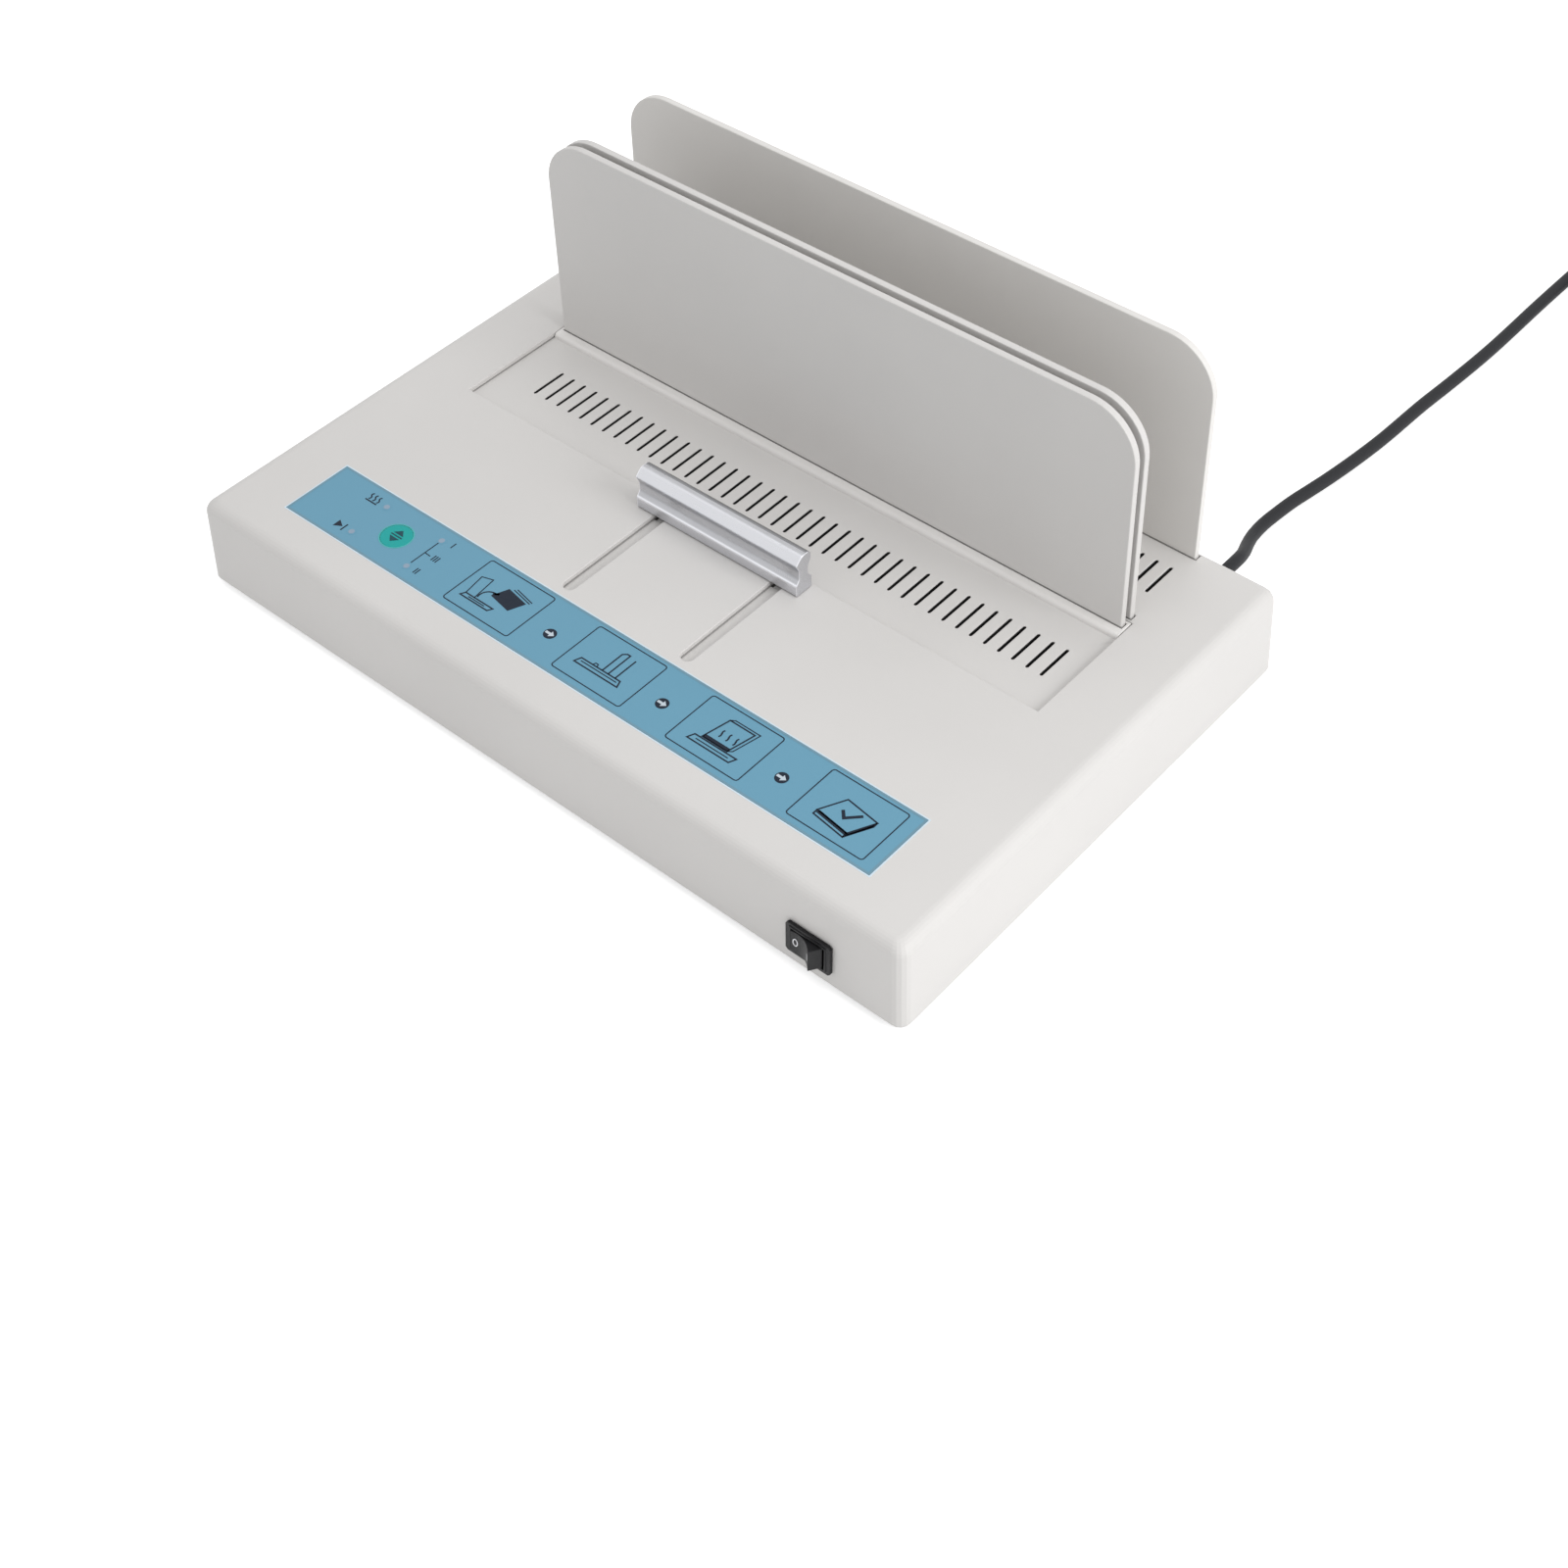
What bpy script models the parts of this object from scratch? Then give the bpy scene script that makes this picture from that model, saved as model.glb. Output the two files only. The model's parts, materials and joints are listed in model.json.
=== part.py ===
"""A desk-top thermal binding machine.

A low moulded housing carries three upright plates. The front one stands on a carriage
that an aluminium handle pulls forwards, which opens a channel over a heated plate for
the spine of a glued cover. The two fixed plates behind it are a cooling rack.

Metres, +Z up, +X to the right as seen from the front, front towards -Y. The origin is
on the floor, in the middle of the footprint of everything but the lead.
"""
import math

import bmesh
import bpy
from mathutils import Matrix, Vector

# General clearances and overruns
SEAT_GAP = 0.0003
SLIDE_GAP = 0.0004
OVERRUN = 0.003
UNION_LAP = 0.0008
WELD = 0.000001
FILLET_SHARE = 0.45

# Housing
HOUSING_WIDTH = 0.390
HOUSING_DEPTH = 0.247
HOUSING_HEIGHT = 0.0426
FOOT_STAND = 0.004
WALL_DRAFT = math.radians(1.9)
EDGE_RADIUS = 0.006
REAR_EDGE_RADIUS = 0.004
CORNER_RADIUS = 0.005
INNER_EDGE_RADIUS = 0.0015
COVER_WALL = 0.0022
TOP_CORNER_SHARE = 0.45

# Upright plates
PLATE_SIDE_MARGIN = 0.0385
PLATE_THICKNESS = 0.0032
PLATE_RISE = 0.1059
PLATE_CORNER = 0.023
PLATE_FOOT_DEPTH = 0.020
PLATE_TAB_WIDTH = 0.030
PLATE_TAB_INSET = 0.0565
SLOT_PLAY = 0.0003
SLOT_END_PLAY = 0.0006
RACK_WIDTH = 0.0429

# Carriage
CARRIAGE_WEB = 0.0012
COVER_WEB = 0.0010
BAND_DEPTH = 0.0095
BAND_RADIUS = 0.0018
CARRIAGE_FLOOR = 0.002
CARRIAGE_STEP = 0.0002
CARRIAGE_LAP = 0.004
FLANGE_LAP = 0.0075
TONGUE_INSET = 0.0013
TONGUE_LAP = 0.0012
CHANNEL_RIB = 0.0018
CHANNEL_RIB_DROP = 0.0078
LUG_THICKNESS = 0.0015
LUG_DEPTH = 0.008
LUG_DROP = 0.0095
RAIL_TO_LUG = 0.0015

# Slits: one row in the carriage and one between the two fixed plates
SLIT_LENGTH = 0.0189
SLIT_WIDTH = 0.0015
SLIT_PITCH = 0.00707
SLIT_ROUND_STEPS = 3
FRONT_SLITS_MARGIN = 0.0282
FRONT_SLITS_OFFSET = 0.0048
FRONT_SLITS_TO_BAND = 0.0163
REAR_SLITS_MARGIN = 0.007
REAR_SLITS_TO_PLATE = 0.0098

# Handle
HANDLE_LENGTH = 0.0893
HANDLE_DEPTH = 0.0096
HANDLE_HEIGHT = 0.0197
HANDLE_BASE_HEIGHT = 0.0057
HANDLE_WAIST = 0.0054
HANDLE_WAIST_LOW = 0.0080
HANDLE_WAIST_HIGH = 0.0125
HANDLE_HEAD_DEPTH = 0.0090
HANDLE_LIP_HEIGHT = 0.0163
HANDLE_REAR_LIP_HEIGHT = 0.0156
HANDLE_CROWN_SETBACK = 0.0035
HANDLE_EDGE_RADIUS = 0.0008
HANDLE_HOLLOW_RADIUS = 0.0030
HANDLE_CROWN_RADIUS = 0.0024
HANDLE_SETBACK = 0.0012
HANDLE_SCREW_INSET = 0.0118
SPACER_DIAMETER = 0.0056
SLOT_OVERRUN = 0.0047
SLOT_REAR_PLAY = 0.0008

# Control film, key and lamps
LABEL_SIDE_MARGIN = 0.0337
LABEL_FRONT_MARGIN = 0.0222
LABEL_DEPTH = 0.0345
LABEL_THICKNESS = 0.0004
LABEL_PROUD = 0.0001
LABEL_MARGIN = 0.0004
LABEL_TO_SLOT = 0.0048
KEY_INSET = 0.0843
KEY_DIAMETER = 0.0142
KEY_FLANGE = 0.0011
KEY_FLANGE_HEIGHT = 0.0010
KEY_STEM_DIAMETER = 0.005
KEY_PROUD = 0.0002
KEY_TRAVEL = 0.0005
LAMP_DIAMETER = 0.003
LAMP_FLANGE = 0.0004
LAMP_FLANGE_HEIGHT = 0.001
LAMP_SPREAD_X = 0.0170
LAMP_SPREAD_Y = 0.0101

# Control board
BOARD_WIDTH = 0.068
BOARD_DEPTH = 0.034
BOARD_THICKNESS = 0.0016
BOARD_DROP = 0.009
BOARD_EDGE = 0.0045
BOARD_POST_DIAMETER = 0.006
TACT_SIZE = 0.006
TACT_HEIGHT = 0.0035
TACT_PLUNGER_DIAMETER = 0.0034
RELAY_SIZE = (0.019, 0.0155, 0.015)
RELAY_OFFSET = 0.016

# Screws
SCREW_DIAMETER = 0.0026
SCREW_HEAD_DIAMETER = 0.0052
SCREW_HEAD_HEIGHT = 0.002
SCREW_BITE = 0.009
SCREW_TIP_SHARE = 0.6
SCREW_RIM_SHARE = 0.6
SCREW_CROWN_SHARE = 0.7
BOSS_DIAMETER = 0.008
BOSS_INSET = 0.0150

# Base pan and feet
PAN_THICKNESS = 0.0025
PAN_RAISE = 0.001
PAN_PLAY = 0.0006
PAN_RIB = 0.0012
PAN_RIB_HEIGHT = 0.008
PAN_VENTS = 9
PAN_VENT_WIDTH = 0.004
PAN_VENT_PITCH = 0.022
FOOT_DIAMETER = 0.016
FOOT_TAPER = 0.002
FOOT_STEM_DIAMETER = 0.005
FOOT_BARB = 0.0012
FOOT_BARB_HEIGHT = 0.0024
FOOT_BARB_TIP_SHARE = 0.6
FOOT_INSET = 0.030

# Heater
HEATER_DROP = 0.014
HEATER_END_MARGIN = 0.0065
HEATER_THICKNESS = 0.005
HEATER_MARGIN = 0.0008
PLATE_LIFT = 0.0008
ELEMENT_THICKNESS = 0.0015
ELEMENT_INSET = 0.004
INSULATION_SHARE = 0.33
TRAY_SHEET = 0.0012
TRAY_LEG_WIDTH = 0.040
TRAY_FLANGE = 0.010
TRAY_LEG_INSET = 0.006
THERMOSTAT_DIAMETER = 0.016
THERMOSTAT_FLANGE = 0.0024
THERMOSTAT_SHARE = 0.36
THERMOSTAT_STEP_SHARE = 0.35
THERMOSTAT_CAP_SHARE = 0.85

# Guide rails and return springs
RAIL_WEB = 0.002
RAIL_LEDGE = 0.003
RAIL_FOOT = 0.012
RAIL_FOOT_HEIGHT = 0.002
RAIL_SIDE_GAP = 0.0018
SPRING_RADIUS = 0.0026
SPRING_WIRE = 0.0008
SPRING_CURLS = 12
SPRING_CURL_POINTS = 8
SPRING_BODY_SHARE = 0.72
SPRING_PIN_DIAMETER = 0.0024
SPRING_PIN_LENGTH = 0.0055
SPRING_LOOP_RADIUS = 0.0022
SPRING_POST_SETBACK = 0.0188
SPRING_POST_DIAMETER = 0.006
SPRING_LUG_LIFT = 0.003

# Mains switch
SWITCH_INSET = 0.0439
SWITCH_RISE = 0.0147
BEZEL_LENGTH = 0.0215
BEZEL_HEIGHT = 0.0156
BEZEL_PROUD = 0.0018
BEZEL_CHAMFER = 0.0010
BEZEL_RIM = 0.0009
BEZEL_RIM_PROUD = 0.0004
SWITCH_BODY_LENGTH = 0.0188
SWITCH_BODY_HEIGHT = 0.0128
SWITCH_BODY_DEPTH = 0.0165
SWITCH_FLOOR = 0.004
SWITCH_TAB = (0.0048, 0.008, 0.0008)
SWITCH_TAB_SPREAD = 0.0035
ROCKER_WINDOW = 0.0160
ROCKER_WINDOW_HEIGHT = 0.0112
ROCKER_TILT = math.radians(18.5)
ROCKER_PIVOT = 0.0005
ROCKER_TIP_RADIUS = 0.0082
ROCKER_TIP_ANGLE = math.radians(48)
ROCKER_VALLEY = 0.0036
ROCKER_HEEL = 0.0075
ROCKER_BACK = 0.0015
ROCKER_PIN_DIAMETER = 0.0024
ROCKER_PIN_LENGTH = 0.0009

# Terminal block
TERMINAL_SIZE = (0.022, 0.016, 0.014)
TERMINAL_INSET = 0.063
TERMINAL_STEP = 0.004

# Lead: its strain relief, free stretch, coil and plug
LEAD_DIAMETER = 0.006
RELIEF_INSET = 0.041
RELIEF_RISE = 0.0115
RELIEF_NECK_DIAMETER = 0.0095
RELIEF_FLANGE_DIAMETER = 0.0135
RELIEF_FLANGE = 0.0022
RELIEF_INNER_LENGTH = 0.004
RELIEF_LENGTH = 0.0215
RELIEF_TIP_WALL = 0.0012
LEAD_LIFT = 0.0002
LEAD_STEP = 0.0135
# The route on the floor, from the relief's tip: steps right, back and the height above the floor
LEAD_ROUTE = (
    (-0.0006, 0.0138, 0.0150),
    (-0.0030, 0.0222, 0.0113),
    (-0.0067, 0.0314, 0.0075),
    (-0.0097, 0.0410, 0.0046),
    (-0.0109, 0.0508, 0.0033),
    (-0.0105, 0.0594, 0.0032),
    (-0.0093, 0.0719, 0.0032),
    (-0.0074, 0.0835, 0.0032),
    (-0.0055, 0.0951, 0.0032),
    (-0.0039, 0.1069, 0.0032),
    (-0.0026, 0.1183, 0.0032),
    (-0.0015, 0.1300, 0.0032),
    (-0.0007, 0.1430, 0.0032),
    (0.0003, 0.1679, 0.0032),
    (0.0018, 0.1880, 0.0032),
    (0.0031, 0.2083, 0.0032),
    (0.0039, 0.2260, 0.0032),
    (0.0042, 0.2437, 0.0032),
    (0.0044, 0.2722, 0.0032),
    (0.0050, 0.3008, 0.0032),
    (0.0056, 0.3200, 0.0032),
    (0.0058, 0.3350, 0.0032),
)
COIL_TURNS_A_LAYER = 3.25
COIL_SPACING = 0.0006
COIL_INNER_RADIUS = 0.0246
COIL_LOOP_POINTS = 24
PLUG_WIDTH = 0.036
PLUG_THICKNESS = 0.020
PLUG_LENGTH = 0.040
PLUG_SHOULDER = 0.010
PLUG_BEVEL = 0.003
PLUG_PIN_WIDTH = 0.0063
PLUG_PIN_THICKNESS = 0.0016
PLUG_PIN_LENGTH = 0.017
PLUG_PIN_SPREAD = 0.0079
PLUG_PIN_TILT = math.radians(30)
PLUG_EARTH_DROP = 0.0103

# Places worked out from the sizes above
FRONT = -HOUSING_DEPTH / 2
REAR = HOUSING_DEPTH / 2
SIDE = HOUSING_WIDTH / 2
PLATE_WIDTH = HOUSING_WIDTH - 2 * PLATE_SIDE_MARGIN
PLATE_TAB_SPREAD = PLATE_WIDTH / 2 - PLATE_TAB_INSET
HANDLE_SCREW_SPREAD = HANDLE_LENGTH / 2 - HANDLE_SCREW_INSET
TONGUE_WIDTH = HANDLE_LENGTH - TONGUE_INSET
LABEL_WIDTH = HOUSING_WIDTH - 2 * LABEL_SIDE_MARGIN
HEATER_LENGTH = PLATE_WIDTH - 2 * HEATER_END_MARGIN
FRONT_SLITS = 1 + int((PLATE_WIDTH - FRONT_SLITS_MARGIN) / SLIT_PITCH)
REAR_SLITS = 1 + int((PLATE_WIDTH - REAR_SLITS_MARGIN) / SLIT_PITCH)
KEY_X = KEY_INSET - SIDE
SWITCH_X = SIDE - SWITCH_INSET
TERMINAL_X = SIDE - TERMINAL_INSET
RELIEF_X = SIDE - RELIEF_INSET
TOP = FOOT_STAND + HOUSING_HEIGHT
DECK = TOP - COVER_WALL
PAN_TOP = FOOT_STAND + PAN_RAISE + PAN_THICKNESS
PLATE_SLOT = PLATE_THICKNESS + 2 * SLOT_PLAY
PLATE_SLOT_LENGTH = PLATE_WIDTH + 2 * SLOT_END_PLAY
PLATE_GAP = 2 * SLOT_PLAY + CARRIAGE_WEB + SLIDE_GAP + COVER_WEB
RIB_TOP = PAN_TOP + PAN_RIB_HEIGHT
RIB_LEAN = (RIB_TOP - FOOT_STAND) * math.tan(WALL_DRAFT)
REAR_PLATE_Y = REAR - COVER_WALL - RIB_LEAN - SEAT_GAP - PAN_RIB - PLATE_SLOT / 2
MIDDLE_PLATE_Y = REAR_PLATE_Y - PLATE_THICKNESS - RACK_WIDTH
FRONT_PLATE_Y = MIDDLE_PLATE_Y - PLATE_THICKNESS - PLATE_GAP
PARTING = FRONT_PLATE_Y + PLATE_SLOT / 2 + CARRIAGE_WEB
OPENING_REAR = PARTING + SLIDE_GAP
BAND_FRONT = PARTING - BAND_DEPTH
LABEL_Y = FRONT + LABEL_FRONT_MARGIN + LABEL_DEPTH / 2
SLOT_FRONT = LABEL_Y + LABEL_DEPTH / 2 + LABEL_TO_SLOT
# The opening and the handle's slots share what is left between the film and the band
HANDLE_TO_OPENING = HANDLE_SETBACK + HANDLE_DEPTH / 2
STROKE = (BAND_FRONT - SLIDE_GAP - HANDLE_TO_OPENING - SPACER_DIAMETER / 2 - SLOT_OVERRUN - SLOT_FRONT) / 2
OPENING_FRONT = BAND_FRONT - STROKE - SLIDE_GAP
BAND_HALF_WIDTH = PLATE_SLOT_LENGTH / 2 + CARRIAGE_WEB
OPENING_HALF_WIDTH = BAND_HALF_WIDTH + SLIDE_GAP
CARRIAGE_TOP = DECK - SLIDE_GAP
CARRIAGE_BOTTOM = CARRIAGE_TOP - CARRIAGE_FLOOR
CARRIAGE_FRONT = OPENING_FRONT - CARRIAGE_LAP
CARRIAGE_HALF_WIDTH = OPENING_HALF_WIDTH + FLANGE_LAP
HANDLE_Y = OPENING_FRONT - HANDLE_TO_OPENING
HANDLE_BOTTOM = TOP + SEAT_GAP
SLOT_REAR = HANDLE_Y + SPACER_DIAMETER / 2 + SLOT_REAR_PLAY
SLOT_WIDTH = SPACER_DIAMETER + 2 * SEAT_GAP
LABEL_BOTTOM = TOP + LABEL_PROUD - LABEL_THICKNESS
SCREW_HOLE = SCREW_DIAMETER + 2 * SEAT_GAP
BOARD_TOP = DECK - BOARD_DROP
HEATER_TOP = TOP - HEATER_DROP
HEATER_BOTTOM = HEATER_TOP - HEATER_THICKNESS
ELEMENT_BOTTOM = HEATER_BOTTOM - SEAT_GAP - ELEMENT_THICKNESS
# The insulation and the thermostat share the room between the heater and the base pan
UNDER_HEATER = ELEMENT_BOTTOM - PAN_TOP
INSULATION_BOTTOM = ELEMENT_BOTTOM - SEAT_GAP - UNDER_HEATER * INSULATION_SHARE
THERMOSTAT_HEIGHT = UNDER_HEATER * THERMOSTAT_SHARE
TRAY_TOP = INSULATION_BOTTOM - SEAT_GAP
HEATER_FRONT = FRONT_PLATE_Y + PLATE_THICKNESS / 2 - STROKE + HEATER_MARGIN
HEATER_REAR = MIDDLE_PLATE_Y - PLATE_THICKNESS / 2 - HEATER_MARGIN
HEATER_Y = (HEATER_FRONT + HEATER_REAR) / 2
HEATER_DEPTH = HEATER_REAR - HEATER_FRONT
RACK_Y = (MIDDLE_PLATE_Y + REAR_PLATE_Y) / 2
RAIL_INNER = BAND_HALF_WIDTH + RAIL_SIDE_GAP
RAIL_OUTER = CARRIAGE_HALF_WIDTH + RAIL_TO_LUG
RAIL_TOP = CARRIAGE_BOTTOM - SEAT_GAP
LUG_X = RAIL_OUTER + RAIL_TO_LUG
SPRING_X = LUG_X + LUG_THICKNESS + SPRING_PIN_LENGTH / 2
SPRING_Z = CARRIAGE_BOTTOM - LUG_DROP + SPRING_LUG_LIFT
SPRING_FRONT = OPENING_FRONT + LUG_DEPTH / 2
SPRING_REAR = PARTING + SPRING_POST_SETBACK
SPRING_LENGTH = SPRING_REAR - SPRING_FRONT
RELIEF_Z = FOOT_STAND + RELIEF_RISE
COIL_PITCH = LEAD_DIAMETER + COIL_SPACING
COIL_OUTER_RADIUS = COIL_INNER_RADIUS + COIL_PITCH * COIL_TURNS_A_LAYER
# The last straight run takes the plug's near edge clear of the outer turn
COIL_REACH = COIL_OUTER_RADIUS + LEAD_DIAMETER / 2
PLUG_EDGE = COIL_OUTER_RADIUS - PLUG_WIDTH / 2
COIL_TAIL = math.sqrt(max(COIL_REACH ** 2 - PLUG_EDGE ** 2, 0)) + LEAD_DIAMETER / 2

MODEL = "binding_machine"


def clear_scene():
    """Starts from an empty scene."""
    for item in list(bpy.data.objects):
        bpy.data.objects.remove(item, do_unlink=True)


def make_collection(name):
    group = bpy.data.collections.new(name)
    bpy.context.scene.collection.children.link(group)
    return group


def make_material(name, colour, roughness, metallic=0.0):
    """A Principled material of one colour."""
    material = bpy.data.materials.new(name)
    material.use_nodes = True
    shader = material.node_tree.nodes["Principled BSDF"]
    shader.inputs["Base Color"].default_value = (*colour, 1)
    shader.inputs["Roughness"].default_value = roughness
    shader.inputs["Metallic"].default_value = metallic
    material.diffuse_color = (*colour, 1)
    return material


class Model:
    """The collections, the parent empty and the cutters of the model."""

    def __init__(self):
        self.parts = make_collection(MODEL)
        self.cutters = make_collection("cutters")
        self.root = bpy.data.objects.new(MODEL, None)
        self.parts.objects.link(self.root)

    def empty(self, name, location, parent=None, rotation=(0, 0, 0)):
        """An empty on a joint's axis or at a sub-assembly's place."""
        holder = bpy.data.objects.new(name, None)
        holder.location = location
        holder.rotation_euler = rotation
        holder.parent = parent or self.root
        self.parts.objects.link(holder)
        return holder

    def part(self, name, mesh, colour, roughness, metallic=0.0, location=(0, 0, 0),
             rotation=(0, 0, 0), parent=None):
        """One piece of the object, with its own material."""
        piece = bpy.data.objects.new(name, mesh)
        piece.data.materials.clear()
        piece.data.materials.append(make_material(name, colour, roughness, metallic))
        piece.location = location
        piece.rotation_euler = rotation
        piece.parent = parent or self.root
        self.parts.objects.link(piece)
        return piece

    def tool(self, target, mesh, location=(0, 0, 0), operation="DIFFERENCE", rotation=(0, 0, 0),
             parent=None):
        """Cuts a shape out of a piece, or joins it on, by a Boolean."""
        name = "{}_{}_{}".format(target.name, operation.lower(), len(self.cutters.objects))
        cutter = bpy.data.objects.new(name, mesh)
        cutter.location = location
        cutter.rotation_euler = rotation
        cutter.parent = parent or self.root
        cutter.hide_render = True
        cutter.display_type = "WIRE"
        self.cutters.objects.link(cutter)
        step = target.modifiers.new(name, "BOOLEAN")
        step.operation = operation
        step.object = cutter
        step.solver = "EXACT"
        return cutter


def finish_mesh(name, build):
    """A mesh from a bmesh whose faces are turned outwards."""
    bmesh.ops.recalc_face_normals(build, faces=build.faces)
    mesh = bpy.data.meshes.new(name)
    build.to_mesh(mesh)
    build.free()
    return mesh


def box_mesh(name, size, centre=(0, 0, 0)):
    build = bmesh.new()
    bmesh.ops.create_cube(build, size=1)
    bmesh.ops.scale(build, vec=size, verts=build.verts)
    bmesh.ops.translate(build, vec=centre, verts=build.verts)
    return finish_mesh(name, build)


def span_box(name, low, high):
    """A box between two corners."""
    size = [b - a for a, b in zip(low, high)]
    centre = [(a + b) / 2 for a, b in zip(low, high)]
    return box_mesh(name, size, centre)


def rod_mesh(name, diameter, low, high, segments=20):
    """A cylinder along Z, between two heights."""
    build = bmesh.new()
    bmesh.ops.create_cone(build, cap_ends=True, segments=segments, radius1=diameter / 2,
                          radius2=diameter / 2, depth=high - low)
    bmesh.ops.translate(build, vec=(0, 0, (low + high) / 2), verts=build.verts)
    return finish_mesh(name, build)


def arc(centre, radius, start, end, steps):
    """Points on an arc, both ends included, with angles in degrees."""
    points = []
    for i in range(steps + 1):
        angle = math.radians(start + (end - start) * i / steps)
        points.append((centre[0] + radius * math.cos(angle), centre[1] + radius * math.sin(angle)))
    return points


def stadium(centre, length, width, steps, along_y=True):
    """A slot's outline, with round ends."""
    reach = (length - width) / 2
    loop = []
    for side, start in ((1, 0), (-1, 180)):
        loop += arc((0, side * reach), width / 2, start, start + 180, steps)
    if not along_y:
        loop = [(-y, x) for x, y in loop]
    return [(centre[0] + x, centre[1] + y) for x, y in loop]


def circle(centre, diameter, steps):
    """A round hole's outline."""
    return arc(centre, diameter / 2, 0, 360, steps)[:-1]


def evaluated_mesh(name, data):
    """The mesh of a curve, with its caps welded to its sides."""
    holder = bpy.data.objects.new(name, data)
    bpy.context.scene.collection.objects.link(holder)
    graph = bpy.context.evaluated_depsgraph_get()
    mesh = bpy.data.meshes.new_from_object(holder.evaluated_get(graph))
    bpy.data.objects.remove(holder, do_unlink=True)
    bpy.data.curves.remove(data)
    build = bmesh.new()
    build.from_mesh(mesh)
    bpy.data.meshes.remove(mesh)
    bmesh.ops.remove_doubles(build, verts=build.verts, dist=WELD)
    return finish_mesh(name, build)


def slab(name, loops, low, high):
    """A flat outline with any holes, extruded between two heights."""
    curve = bpy.data.curves.new(name, "CURVE")
    curve.dimensions = "2D"
    curve.fill_mode = "BOTH"
    curve.extrude = (high - low) / 2
    for loop in loops:
        spline = curve.splines.new("POLY")
        spline.points.add(len(loop) - 1)
        for point, (x, y) in zip(spline.points, loop):
            point.co = (x, y, 0, 1)
        spline.use_cyclic_u = True
    mesh = evaluated_mesh(name, curve)
    for vertex in mesh.vertices:
        vertex.co.z += (low + high) / 2
    return mesh


def turned_part(model, name, profile, *look, segments=20, **place):
    """A piece turned about its own Z axis, from radii and heights that run down its outer side."""
    mesh = bpy.data.meshes.new(name)
    points = [(radius, 0, height) for radius, height in profile]
    mesh.from_pydata(points, [(i, i + 1) for i in range(len(points) - 1)], [])
    piece = model.part(name, mesh, *look, **place)
    step = piece.modifiers.new("turn", "SCREW")
    step.angle = math.tau
    step.steps = segments
    step.render_steps = segments
    step.use_merge_vertices = True
    step.merge_threshold = WELD
    return piece


def tube(name, points, radius, resolution):
    """A round tube along points, closed at both ends."""
    curve = bpy.data.curves.new(name, "CURVE")
    curve.dimensions = "3D"
    curve.bevel_depth = radius
    curve.bevel_resolution = resolution
    curve.use_fill_caps = True
    spline = curve.splines.new("POLY")
    spline.points.add(len(points) - 1)
    for point, place in zip(spline.points, points):
        point.co = (*place, 1)
    return evaluated_mesh(name, curve)


def smooth_look(piece, angle=35):
    """Smooth shading with crisp edges."""
    piece.data.shade_smooth()
    piece.data.set_sharp_from_angle(angle=math.radians(angle))


def ring(level, half_width, front, rear, radius, steps):
    """The points of one rounded rectangle, anticlockwise from the front right corner."""
    corners = (
        (half_width - radius, front + radius, -90),
        (half_width - radius, rear - radius, 0),
        (-half_width + radius, rear - radius, 90),
        (-half_width + radius, front + radius, 180),
    )
    points = []
    for x, y, start in corners:
        points += [(px, py, level) for px, py in arc((x, y), radius, start, start + 90, steps)]
    return points


def loft(name, rings):
    """A closed skin over a stack of rings that have as many points each."""
    build = bmesh.new()
    rows = [[build.verts.new(point) for point in level] for level in rings]
    count = len(rows[0])
    for lower, upper in zip(rows, rows[1:]):
        for i in range(count):
            j = (i + 1) % count
            build.faces.new((lower[i], lower[j], upper[j], upper[i]))
    build.faces.new(rows[0][::-1])
    build.faces.new(rows[-1])
    return finish_mesh(name, build)


def edge_inset(height, top, radius):
    """How far a rounded top edge has drawn in at a height."""
    above = height - (top - radius)
    if above <= 0:
        return 0
    return radius - math.sqrt(max(radius * radius - above * above, 0))


def housing_rings(bottom, top, wall, edge, rear_edge, corner, steps=7, corner_steps=4):
    """Rings of the drafted housing, outside with no wall, or inside by the wall's thickness."""
    shoulder = top - edge
    heights = [bottom, shoulder]
    heights += [top - edge * (1 - math.sin(math.pi / 2 * i / steps)) for i in range(1, steps + 1)]
    rings = []
    for height in heights:
        lean = (min(height, shoulder) - FOOT_STAND) * math.tan(WALL_DRAFT) + wall
        inset = lean + edge_inset(height, top, edge)
        rear_inset = lean + edge_inset(height, top, rear_edge)
        radius = corner * (1 - (1 - TOP_CORNER_SHARE) * edge_inset(height, top, edge) / edge)
        rings.append(ring(height, HOUSING_WIDTH / 2 - inset, FRONT + inset, REAR - rear_inset,
                          radius, corner_steps))
    return rings


def boss_places():
    """The housing screws, one in each corner."""
    x = HOUSING_WIDTH / 2 - BOSS_INSET
    y = HOUSING_DEPTH / 2 - BOSS_INSET
    return {"front_left": (-x, -y), "front_right": (x, -y), "rear_left": (-x, y), "rear_right": (x, y)}


def board_places():
    """The board screws, one in each corner of the board."""
    x = BOARD_WIDTH / 2 - BOARD_EDGE
    y = BOARD_DEPTH / 2 - BOARD_EDGE
    return {
        "front_left": (KEY_X - x, LABEL_Y - y),
        "front_right": (KEY_X + x, LABEL_Y - y),
        "rear_left": (KEY_X - x, LABEL_Y + y),
        "rear_right": (KEY_X + x, LABEL_Y + y),
    }


def lamp_places():
    """The four lamps round the key."""
    return {
        "lamp_heat": (KEY_X - LAMP_SPREAD_X, LABEL_Y + LAMP_SPREAD_Y),
        "lamp_ready": (KEY_X - LAMP_SPREAD_X, LABEL_Y - LAMP_SPREAD_Y),
        "lamp_level_one": (KEY_X + LAMP_SPREAD_X, LABEL_Y + LAMP_SPREAD_Y),
        "lamp_level_two": (KEY_X + LAMP_SPREAD_X, LABEL_Y - LAMP_SPREAD_Y),
    }


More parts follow.
